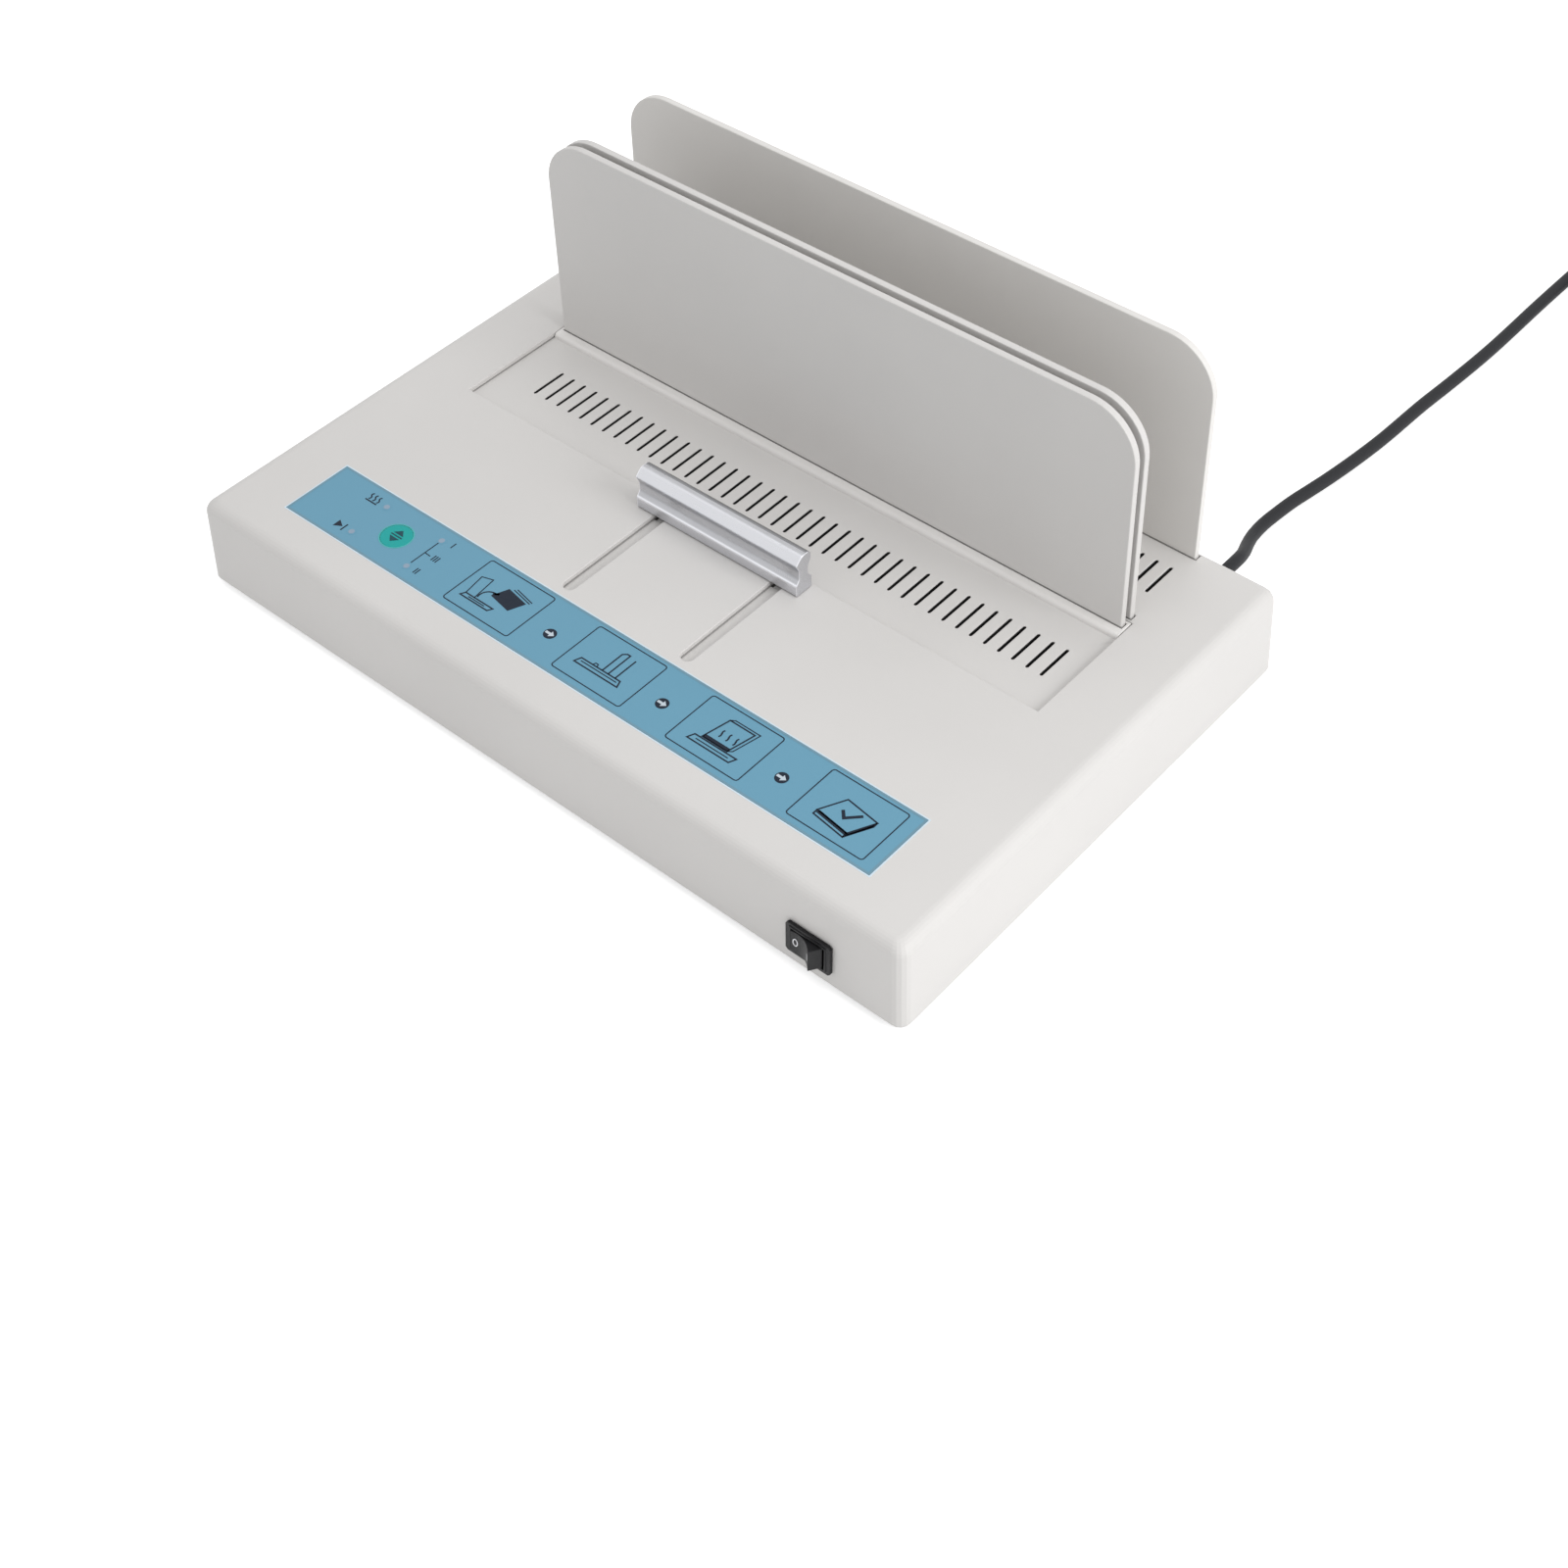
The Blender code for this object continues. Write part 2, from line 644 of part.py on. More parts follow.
def slit_row(count, middle, y):
    """The outlines of one row of slits."""
    first = middle - SLIT_PITCH * (count - 1) / 2
    return [stadium((first + SLIT_PITCH * i, y), SLIT_LENGTH, SLIT_WIDTH, SLIT_ROUND_STEPS)
            for i in range(count)]


def rear_slits_y():
    return REAR_PLATE_Y - PLATE_THICKNESS / 2 - REAR_SLITS_TO_PLATE - SLIT_LENGTH / 2


def front_slits_y():
    return BAND_FRONT - FRONT_SLITS_TO_BAND - SLIT_LENGTH / 2


def make_cover(model):
    """The moulded cover: a drafted shell with its openings, and screw posts inside."""
    outside = loft("top_cover", housing_rings(FOOT_STAND, TOP, 0, EDGE_RADIUS, REAR_EDGE_RADIUS,
                                              CORNER_RADIUS))
    cover = model.part("top_cover", outside, (0.66, 0.65, 0.63), 0.45)
    inner_corner = max(CORNER_RADIUS - COVER_WALL, INNER_EDGE_RADIUS)
    inside = loft("cover_inside", housing_rings(
        FOOT_STAND - OVERRUN, DECK, COVER_WALL, max(EDGE_RADIUS - COVER_WALL, INNER_EDGE_RADIUS),
        max(REAR_EDGE_RADIUS - COVER_WALL, INNER_EDGE_RADIUS), inner_corner))
    model.tool(cover, inside)
    for x, y in boss_places().values():
        model.tool(cover, rod_mesh("case_boss", BOSS_DIAMETER, PAN_TOP + SEAT_GAP, DECK + UNION_LAP),
                   (x, y, 0), "UNION")
        model.tool(cover, rod_mesh("case_boss_bore", SCREW_HOLE, PAN_TOP - OVERRUN,
                                   PAN_TOP + SCREW_BITE + 2 * SEAT_GAP, 16), (x, y, 0))
    for x, y in board_places().values():
        model.tool(cover, rod_mesh("board_post", BOARD_POST_DIAMETER, BOARD_TOP + SEAT_GAP,
                                   DECK + UNION_LAP), (x, y, 0), "UNION")
        model.tool(cover, rod_mesh("board_post_bore", SCREW_HOLE, BOARD_TOP - OVERRUN,
                                   DECK - SEAT_GAP, 16), (x, y, 0))
    cut_low = DECK - OVERRUN
    cut_high = TOP + OVERRUN
    model.tool(cover, span_box("carriage_opening", (-OPENING_HALF_WIDTH, OPENING_FRONT, cut_low),
                               (OPENING_HALF_WIDTH, OPENING_REAR, cut_high)))
    slots = []
    for side in (-1, 1):
        middle = (SLOT_FRONT + SLOT_REAR) / 2
        slots.append(stadium((side * HANDLE_SCREW_SPREAD, middle), SLOT_REAR - SLOT_FRONT, SLOT_WIDTH, 8))
    slots += slit_row(REAR_SLITS, 0, rear_slits_y())
    slots += [circle(place, hole_size(), 16) for place in lamp_places().values()]
    key_hole = KEY_DIAMETER + 2 * SEAT_GAP
    slots.append(circle((KEY_X, LABEL_Y), key_hole, 28))
    for y in (MIDDLE_PLATE_Y, REAR_PLATE_Y):
        half = PLATE_SLOT_LENGTH / 2
        slots.append([(-half, y - PLATE_SLOT / 2), (half, y - PLATE_SLOT / 2),
                      (half, y + PLATE_SLOT / 2), (-half, y + PLATE_SLOT / 2)])
    model.tool(cover, slab("cover_slots", slots, cut_low, cut_high))
    pocket_x = LABEL_WIDTH / 2 + LABEL_MARGIN
    pocket_y = LABEL_DEPTH / 2 + LABEL_MARGIN
    model.tool(cover, span_box("label_pocket", (-pocket_x, LABEL_Y - pocket_y, LABEL_BOTTOM - SEAT_GAP),
                               (pocket_x, LABEL_Y + pocket_y, cut_high)))
    mount = switch_mount(model)
    model.tool(cover, box_mesh("switch_cutout", (SWITCH_BODY_LENGTH + 2 * SEAT_GAP, 4 * COVER_WALL,
                                                 SWITCH_BODY_HEIGHT + 2 * SEAT_GAP)), parent=mount)
    relief = relief_mount(model)
    model.tool(cover, rod_mesh("relief_hole", RELIEF_NECK_DIAMETER + 2 * SEAT_GAP, -2 * COVER_WALL,
                               2 * COVER_WALL), parent=relief)
    return cover, mount, relief


def hole_size():
    """The hole that a lamp comes up through."""
    return LAMP_DIAMETER + 2 * SEAT_GAP


def wall_inset(height):
    """How far the outside of a wall leans in at a height above the floor."""
    return (height - FOOT_STAND) * math.tan(WALL_DRAFT)


def switch_mount(model):
    """An empty on the front wall's face, leaning with it, in the middle of the switch."""
    height = FOOT_STAND + SWITCH_RISE
    return model.empty("switch_mount", (SWITCH_X, FRONT + wall_inset(height), height),
                       rotation=(-WALL_DRAFT, 0, 0))


def relief_mount(model):
    """An empty on the rear wall's face, whose Z axis points out along the lead."""
    return model.empty("relief_mount", (RELIEF_X, REAR - wall_inset(RELIEF_Z), RELIEF_Z),
                       rotation=(-math.pi / 2 + WALL_DRAFT, 0, 0))


def make_label(model):
    """The control film, with holes for the key and the lamps."""
    half_x = LABEL_WIDTH / 2
    half_y = LABEL_DEPTH / 2
    loops = [[(-half_x, -half_y), (half_x, -half_y), (half_x, half_y), (-half_x, half_y)]]
    key_hole = KEY_DIAMETER + 2 * SEAT_GAP
    loops.append(circle((KEY_X, 0), key_hole, 28))
    loops += [circle((x, y - LABEL_Y), hole_size(), 16) for x, y in lamp_places().values()]
    model.part("control_label", slab("control_label", loops, 0, LABEL_THICKNESS), (0.15, 0.36, 0.49), 0.5,
               location=(0, LABEL_Y, LABEL_BOTTOM))


def make_controls(model):
    """The key, the lamps, and the board with its switch and relay."""
    plunger_top = BOARD_TOP + SEAT_GAP + TACT_HEIGHT + UNION_LAP
    key_bottom = plunger_top + KEY_TRAVEL + SEAT_GAP
    flange_top = DECK - SEAT_GAP
    flange_bottom = flange_top - KEY_FLANGE_HEIGHT
    cap = KEY_DIAMETER / 2
    profile = [(0, TOP + KEY_PROUD), (cap - KEY_PROUD, TOP + KEY_PROUD), (cap, TOP), (cap, flange_top),
               (cap + KEY_FLANGE, flange_top), (cap + KEY_FLANGE, flange_bottom),
               (KEY_STEM_DIAMETER / 2, flange_bottom), (KEY_STEM_DIAMETER / 2, key_bottom), (0, key_bottom)]
    turned_part(model, "select_button", [(r, z - TOP) for r, z in profile], (0.03, 0.44, 0.39), 0.4,
                segments=28, location=(KEY_X, LABEL_Y, TOP))
    lamp = LAMP_DIAMETER / 2
    rim = lamp + LAMP_FLANGE
    lamp_base = BOARD_TOP + SEAT_GAP
    dome = [(r, TOP - lamp + z) for r, z in arc((0, 0), lamp, 90, 0, 2)]
    flange = lamp_base + LAMP_FLANGE_HEIGHT
    barrel = [(lamp, flange), (rim, flange), (rim, lamp_base), (0, lamp_base)]
    for name, (x, y) in lamp_places().items():
        turned_part(model, name, dome + barrel, (0.75, 0.72, 0.72), 0.3, segments=12, location=(x, y, 0))
    half_x = BOARD_WIDTH / 2
    half_y = BOARD_DEPTH / 2
    loops = [[(-half_x, -half_y), (half_x, -half_y), (half_x, half_y), (-half_x, half_y)]]
    loops += [circle((x - KEY_X, y - LABEL_Y), SCREW_HOLE, 16) for x, y in board_places().values()]
    model.part("control_board", slab("control_board", loops, BOARD_TOP - BOARD_THICKNESS, BOARD_TOP),
               (0.02, 0.18, 0.07), 0.5, location=(KEY_X, LABEL_Y, 0))
    tact_bottom = BOARD_TOP + SEAT_GAP
    tact_top = tact_bottom + TACT_HEIGHT
    half = TACT_SIZE / 2
    tact_case = span_box("tact_switch", (-half, -half, tact_bottom), (half, half, tact_top))
    tact = model.part("tact_switch", tact_case, (0.04, 0.04, 0.04), 0.4, location=(KEY_X, LABEL_Y, 0))
    plunger = rod_mesh("tact_plunger", TACT_PLUNGER_DIAMETER, tact_top - UNION_LAP, plunger_top, 16)
    model.tool(tact, plunger, (KEY_X, LABEL_Y, 0), "UNION")
    relay_top = BOARD_TOP - BOARD_THICKNESS - SEAT_GAP
    model.part("relay", box_mesh("relay", RELAY_SIZE), (0.02, 0.07, 0.25), 0.35,
               location=(KEY_X + RELAY_OFFSET, LABEL_Y, relay_top - RELAY_SIZE[2] / 2))


def make_screw(model, name, x, y, seat, bite, parent=None):
    """A pan-head screw that points up, with the underside of its head at a height."""
    head = SCREW_HEAD_DIAMETER / 2
    shank = SCREW_DIAMETER / 2
    profile = [(0, bite), (shank * SCREW_TIP_SHARE, bite), (shank, bite - shank), (shank, 0), (head, 0),
               (head, -SCREW_HEAD_HEIGHT * SCREW_RIM_SHARE), (head * SCREW_CROWN_SHARE, -SCREW_HEAD_HEIGHT),
               (0, -SCREW_HEAD_HEIGHT)]
    turned_part(model, name, profile, (0.55, 0.56, 0.58), 0.3, 0.9, segments=10,
                location=(x, y, seat), parent=parent)


def plate_outline(bottom, tab_bottom):
    """An upright plate's outline: rounded above, and on two tabs below if it has them."""
    half = PLATE_WIDTH / 2
    top = TOP + PLATE_RISE
    loop = [(half, bottom)]
    loop += arc((half - PLATE_CORNER, top - PLATE_CORNER), PLATE_CORNER, 0, 90, 12)
    loop += arc((-half + PLATE_CORNER, top - PLATE_CORNER), PLATE_CORNER, 90, 180, 12)
    loop.append((-half, bottom))
    if tab_bottom is not None:
        for middle in (-PLATE_TAB_SPREAD, PLATE_TAB_SPREAD):
            left = middle - PLATE_TAB_WIDTH / 2
            right = middle + PLATE_TAB_WIDTH / 2
            loop += [(left, bottom), (left, tab_bottom), (right, tab_bottom), (right, bottom)]
    return loop


def make_plate(model, name, y, bottom, tab_bottom=None, parent=None):
    """One upright plate, made flat and stood up."""
    half = PLATE_THICKNESS / 2
    mesh = slab(name, [plate_outline(bottom, tab_bottom)], -half, half)
    return model.part(name, mesh, (0.55, 0.54, 0.52), 0.45, location=(0, y, 0),
                      rotation=(math.pi / 2, 0, 0), parent=parent)


def rail_profile():
    """A guide rail's section: foot on the pan, web and ledge."""
    foot = PAN_TOP + SEAT_GAP
    web = RAIL_INNER + RAIL_WEB
    foot_out = RAIL_INNER + RAIL_FOOT
    foot_top = foot + RAIL_FOOT_HEIGHT
    ledge = RAIL_TOP - RAIL_LEDGE
    return [(RAIL_INNER, foot), (foot_out, foot), (foot_out, foot_top), (web, foot_top), (web, ledge),
            (RAIL_OUTER, ledge), (RAIL_OUTER, RAIL_TOP), (RAIL_INNER, RAIL_TOP)]


def make_carriage(model):
    """The sliding panel with its slits, band, tongue, plate channel and spring lugs."""
    slide = model.empty("carriage_slide", (0, FRONT_PLATE_Y, CARRIAGE_TOP))

    def local(mesh):
        for vertex in mesh.vertices:
            vertex.co.y -= FRONT_PLATE_Y
            vertex.co.z -= CARRIAGE_TOP
        return mesh

    wide = CARRIAGE_HALF_WIDTH
    floor_rear = PARTING - 2 * CARRIAGE_STEP
    floor = local(span_box("carriage", (-wide, CARRIAGE_FRONT, CARRIAGE_BOTTOM),
                           (wide, floor_rear, CARRIAGE_TOP)))
    carriage = model.part("carriage", floor, (0.64, 0.63, 0.61), 0.45, parent=slide)
    # The tongue and the arms are a little thinner than the floor that they grow from
    low = CARRIAGE_BOTTOM + CARRIAGE_STEP
    high = CARRIAGE_TOP - CARRIAGE_STEP
    tongue = span_box("carriage_tongue", (-TONGUE_WIDTH / 2, SLOT_FRONT - TONGUE_LAP, low),
                      (TONGUE_WIDTH / 2, CARRIAGE_FRONT + UNION_LAP, high))
    model.tool(carriage, local(tongue), operation="UNION", parent=slide)
    holes = slit_row(FRONT_SLITS, FRONT_SLITS_OFFSET, front_slits_y())
    for side in (-1, 1):
        holes.append(circle((side * HANDLE_SCREW_SPREAD, HANDLE_Y), SCREW_HOLE, 16))
    cutter = slab("carriage_holes", holes, CARRIAGE_BOTTOM - OVERRUN, CARRIAGE_TOP + OVERRUN)
    model.tool(carriage, local(cutter), parent=slide)
    lap = CARRIAGE_BOTTOM + UNION_LAP
    half = BAND_HALF_WIDTH
    bend = arc((BAND_FRONT + BAND_RADIUS, TOP - BAND_RADIUS), BAND_RADIUS, 180, 90, 5)
    band = [(BAND_FRONT, lap)] + bend + [(PARTING, TOP), (PARTING, lap)]
    # The section lies in the YZ plane, so the slab is turned to run along X
    band_mesh = slab("carriage_band", [band], -half, half)
    for vertex in band_mesh.vertices:
        y, z, x = vertex.co
        vertex.co = (x, y - FRONT_PLATE_Y, z - CARRIAGE_TOP)
    model.tool(carriage, band_mesh, operation="UNION", parent=slide)
    rib_low = CARRIAGE_BOTTOM - CHANNEL_RIB_DROP
    rib_high = CARRIAGE_BOTTOM + UNION_LAP / 2
    front_rib = FRONT_PLATE_Y - PLATE_SLOT / 2
    rear_rib = FRONT_PLATE_Y + PLATE_SLOT / 2
    reach = BAND_HALF_WIDTH - CARRIAGE_STEP
    for front, rear in ((front_rib - CHANNEL_RIB, front_rib + UNION_LAP),
                        (rear_rib - UNION_LAP, PARTING - CARRIAGE_STEP)):
        rib = span_box("carriage_rib", (-reach, front, rib_low), (reach, rear, rib_high))
        model.tool(carriage, local(rib), operation="UNION", parent=slide)
    for side in (-1, 1):
        root = side * (wide - UNION_LAP)
        outer = side * (LUG_X + LUG_THICKNESS)
        arm = span_box("carriage_arm", (min(root, outer), OPENING_FRONT, low),
                       (max(root, outer), OPENING_FRONT + LUG_DEPTH, high))
        model.tool(carriage, local(arm), operation="UNION", parent=slide)
        inner = side * LUG_X
        outer -= side * CARRIAGE_STEP
        lug = span_box("carriage_lug",
                       (min(inner, outer), OPENING_FRONT + CARRIAGE_STEP, CARRIAGE_BOTTOM - LUG_DROP),
                       (max(inner, outer), OPENING_FRONT + LUG_DEPTH - CARRIAGE_STEP, low + UNION_LAP))
        model.tool(carriage, local(lug), operation="UNION", parent=slide)
        pin_end = LUG_X + LUG_THICKNESS + SPRING_PIN_LENGTH
        pin = rod_mesh("carriage_pin", SPRING_PIN_DIAMETER, LUG_X + UNION_LAP, pin_end, 12)
        model.tool(carriage, pin, (0, SPRING_FRONT - FRONT_PLATE_Y, SPRING_Z - CARRIAGE_TOP), "UNION",
                   rotation=(0, side * math.pi / 2, 0), parent=slide)
    half = PLATE_SLOT_LENGTH / 2
    slot = span_box("carriage_slot", (-half, front_rib, rib_low - OVERRUN), (half, rear_rib, TOP + OVERRUN))
    model.tool(carriage, local(slot), parent=slide)
    plate = make_plate(model, "front_plate", 0, HEATER_TOP + PLATE_LIFT, parent=slide)
    plate.location.z = -CARRIAGE_TOP
    make_handle(model, slide)
    return slide


def filleted(corners, steps=4):
    """A closed outline whose corners, each given with a radius, are rounded by arcs of a few points."""
    outline = []
    count = len(corners)
    for i, (x, y, radius) in enumerate(corners):
        here = Vector((x, y))
        to_last = Vector(corners[i - 1][:2]) - here
        to_next = Vector(corners[(i + 1) % count][:2]) - here
        half = to_last.angle(to_next) / 2
        # The arc takes up less than half of either side, however short the side is
        room = min(to_last.length, to_next.length) * FILLET_SHARE
        cut = min(radius / math.tan(half), room)
        reach = cut / math.cos(half)
        centre = here + (to_last.normalized() + to_next.normalized()).normalized() * reach
        start = here + to_last.normalized() * cut - centre
        turn = start.angle_signed(here + to_next.normalized() * cut - centre)
        for k in range(steps + 1):
            outline.append(tuple(centre + Matrix.Rotation(-turn * k / steps, 2) @ start))
    return outline


def handle_section():
    """The handle's extruded section: base, hollow waist and a head that slopes up from its front lip."""
    base = HANDLE_DEPTH / 2
    waist = HANDLE_WAIST / 2
    head = HANDLE_HEAD_DEPTH / 2
    edge, hollow, crown = HANDLE_EDGE_RADIUS, HANDLE_HOLLOW_RADIUS, HANDLE_CROWN_RADIUS
    return filleted([
        (-base, 0, edge),
        (base, 0, edge),
        (base, HANDLE_BASE_HEIGHT, edge),
        (waist, HANDLE_WAIST_LOW, hollow),
        (waist, HANDLE_WAIST_HIGH, hollow),
        (head, HANDLE_REAR_LIP_HEIGHT, edge),
        (head, HANDLE_HEIGHT, crown),
        (HANDLE_CROWN_SETBACK - head, HANDLE_HEIGHT, crown),
        (-head, HANDLE_LIP_HEIGHT, edge),
        (-waist, HANDLE_WAIST_HIGH, hollow),
        (-waist, HANDLE_WAIST_LOW, hollow),
        (-base, HANDLE_BASE_HEIGHT, edge),
    ])


def make_handle(model, slide):
    """The handle, on two spacers that stand on the carriage, with a screw up each."""
    mesh = slab("handle_bar", [handle_section()], -HANDLE_LENGTH / 2, HANDLE_LENGTH / 2)
    for vertex in mesh.vertices:
        y, z, x = vertex.co
        vertex.co = (x, y, z)
    at_y = HANDLE_Y - FRONT_PLATE_Y
    handle = model.part("handle_bar", mesh, (0.72, 0.73, 0.75), 0.32, 0.9,
                        location=(0, at_y, HANDLE_BOTTOM - CARRIAGE_TOP), parent=slide)
    smooth_look(handle, 40)
    spacer_low = SEAT_GAP
    spacer_high = HANDLE_BOTTOM - SEAT_GAP - CARRIAGE_TOP
    bore_top = HANDLE_BOTTOM - CARRIAGE_TOP + HANDLE_WAIST_HIGH
    seat = -CARRIAGE_FLOOR - SEAT_GAP
    for side, word in ((-1, "left"), (1, "right")):
        x = side * HANDLE_SCREW_SPREAD
        bore = rod_mesh("handle_bore", SCREW_HOLE, spacer_high - OVERRUN, bore_top, 12)
        model.tool(handle, bore, (x, at_y, 0), parent=slide)
        sleeve = rod_mesh("handle_spacer", SPACER_DIAMETER, spacer_low, spacer_high)
        spacer = model.part("handle_spacer_" + word, sleeve, (0.5, 0.5, 0.5), 0.4, 0.8,
                            location=(x, at_y, 0), parent=slide)
        bore = rod_mesh("spacer_bore", SCREW_HOLE, spacer_low - OVERRUN, spacer_high + OVERRUN, 12)
        model.tool(spacer, bore, (x, at_y, 0), parent=slide)
        make_screw(model, "handle_screw_" + word, x, at_y, seat, bore_top - seat - SEAT_GAP, slide)


def make_rails(model):
    """The rails under the carriage's side flanges."""
    front = CARRIAGE_FRONT - STROKE
    for side, word in ((-1, "left"), (1, "right")):
        mesh = slab("guide_rail_" + word, [rail_profile()], -OPENING_REAR, -front)
        for vertex in mesh.vertices:
            x, z, y = vertex.co
            vertex.co = (side * x, -y, z)
        build = bmesh.new()
        build.from_mesh(mesh)
        bpy.data.meshes.remove(mesh)
        model.part("guide_rail_" + word, finish_mesh("guide_rail_" + word, build), (0.75, 0.74, 0.70), 0.5)


def spring_points():
    """A drawn spring along +Y from its front loop's pin to its rear loop's pin."""
    body = SPRING_LENGTH * SPRING_BODY_SHARE
    lead_in = (SPRING_LENGTH - body) / 2
    shift = SPRING_LOOP_RADIUS - SPRING_PIN_DIAMETER / 2 - SPRING_WIRE / 2 - SEAT_GAP
    start = [(0, shift + SPRING_LOOP_RADIUS * math.cos(math.radians(a)),
              SPRING_LOOP_RADIUS * math.sin(math.radians(a))) for a in range(60, 361, 30)]
    coil = []
    for i in range(SPRING_CURLS * SPRING_CURL_POINTS + 1):
        angle = math.tau * i / SPRING_CURL_POINTS
        along = lead_in + body * i / (SPRING_CURLS * SPRING_CURL_POINTS)
        coil.append((SPRING_RADIUS * math.sin(angle), along, -SPRING_RADIUS * math.cos(angle)))
    end = [(x, SPRING_LENGTH - y, z) for x, y, z in reversed(start)]
    return start + coil + end


def make_springs(model):
    """The drawn springs that close the carriage."""
    for side, word in ((-1, "left"), (1, "right")):
        points = [(side * x, y, z) for x, y, z in spring_points()]
        model.part("return_spring_" + word, tube("return_spring_" + word, points, SPRING_WIRE / 2, 0),
                   (0.5, 0.5, 0.52), 0.3, 0.9, location=(side * SPRING_X, SPRING_FRONT, SPRING_Z))


def make_pan(model):
    """The base pan, with ribs for the fixed plates' tabs, spring posts, vents and foot holes."""
    half_x = HOUSING_WIDTH / 2 - COVER_WALL - PAN_PLAY
    half_y = HOUSING_DEPTH / 2 - COVER_WALL - PAN_PLAY
    corner = max(CORNER_RADIUS - COVER_WALL, INNER_EDGE_RADIUS)
    outline = [(x, y) for x, y, _ in ring(0, half_x, -half_y, half_y, corner, 4)]
    bottom = PAN_TOP - PAN_THICKNESS
    pan = model.part("base_pan", slab("base_pan", [outline], bottom, PAN_TOP), (0.10, 0.10, 0.105), 0.5)
    holes = [circle(place, SCREW_HOLE, 16) for place in boss_places().values()]
    stem = FOOT_STEM_DIAMETER + 2 * SEAT_GAP
    holes += [circle(place, stem, 20) for place in foot_places().values()]
    first = -PAN_VENT_PITCH * (PAN_VENTS - 1) / 2
    for i in range(PAN_VENTS):
        holes.append(stadium((first + PAN_VENT_PITCH * i, HEATER_Y), HEATER_DEPTH / 2, PAN_VENT_WIDTH, 4))
    model.tool(pan, slab("pan_holes", holes, bottom - OVERRUN, PAN_TOP + OVERRUN))
    rib_low = PAN_TOP - UNION_LAP
    for y in (MIDDLE_PLATE_Y, REAR_PLATE_Y):
        for x in (-PLATE_TAB_SPREAD, PLATE_TAB_SPREAD):
            for side in (-1, 1):
                inner = y + side * PLATE_SLOT / 2
                outer = inner + side * PAN_RIB
                low = (x - PLATE_TAB_WIDTH / 2, min(inner, outer), rib_low)
                high = (x + PLATE_TAB_WIDTH / 2, max(inner, outer), PAN_TOP + PAN_RIB_HEIGHT)
                model.tool(pan, span_box("pan_rib", low, high), operation="UNION")
    for side in (-1, 1):
        post_x = side * (LUG_X + LUG_THICKNESS - SPRING_POST_DIAMETER / 2)
        model.tool(pan, rod_mesh("spring_post", SPRING_POST_DIAMETER, rib_low,
                                 SPRING_Z + SPRING_PIN_DIAMETER), (post_x, SPRING_REAR, 0), "UNION")
        pin = rod_mesh("post_pin", SPRING_PIN_DIAMETER, LUG_X - UNION_LAP,
                       LUG_X + LUG_THICKNESS + SPRING_PIN_LENGTH, 12)
        model.tool(pan, pin, (0, SPRING_REAR, SPRING_Z), "UNION", rotation=(0, side * math.pi / 2, 0))
    return pan


def foot_places():
    x = HOUSING_WIDTH / 2 - FOOT_INSET
    y = HOUSING_DEPTH / 2 - FOOT_INSET
    return {"front_left": (-x, -y), "front_right": (x, -y), "rear_left": (-x, y), "rear_right": (x, y)}


def make_feet(model):
    """Rubber feet that snap into the pan."""
    seat = PAN_TOP - PAN_THICKNESS - SEAT_GAP
    barb_low = PAN_TOP + SEAT_GAP
    stem = FOOT_STEM_DIAMETER / 2
    wide = FOOT_DIAMETER / 2
    tip = barb_low + FOOT_BARB_HEIGHT
    profile = [(0, tip), (stem * FOOT_BARB_TIP_SHARE, tip), (stem + FOOT_BARB, barb_low), (stem, barb_low),
               (stem, seat), (wide, seat), (wide - FOOT_TAPER, 0), (0, 0)]
    for word, (x, y) in foot_places().items():
        turned_part(model, "foot_" + word, profile, (0.03, 0.03, 0.03), 0.8, segments=16,
                    location=(x, y, 0))


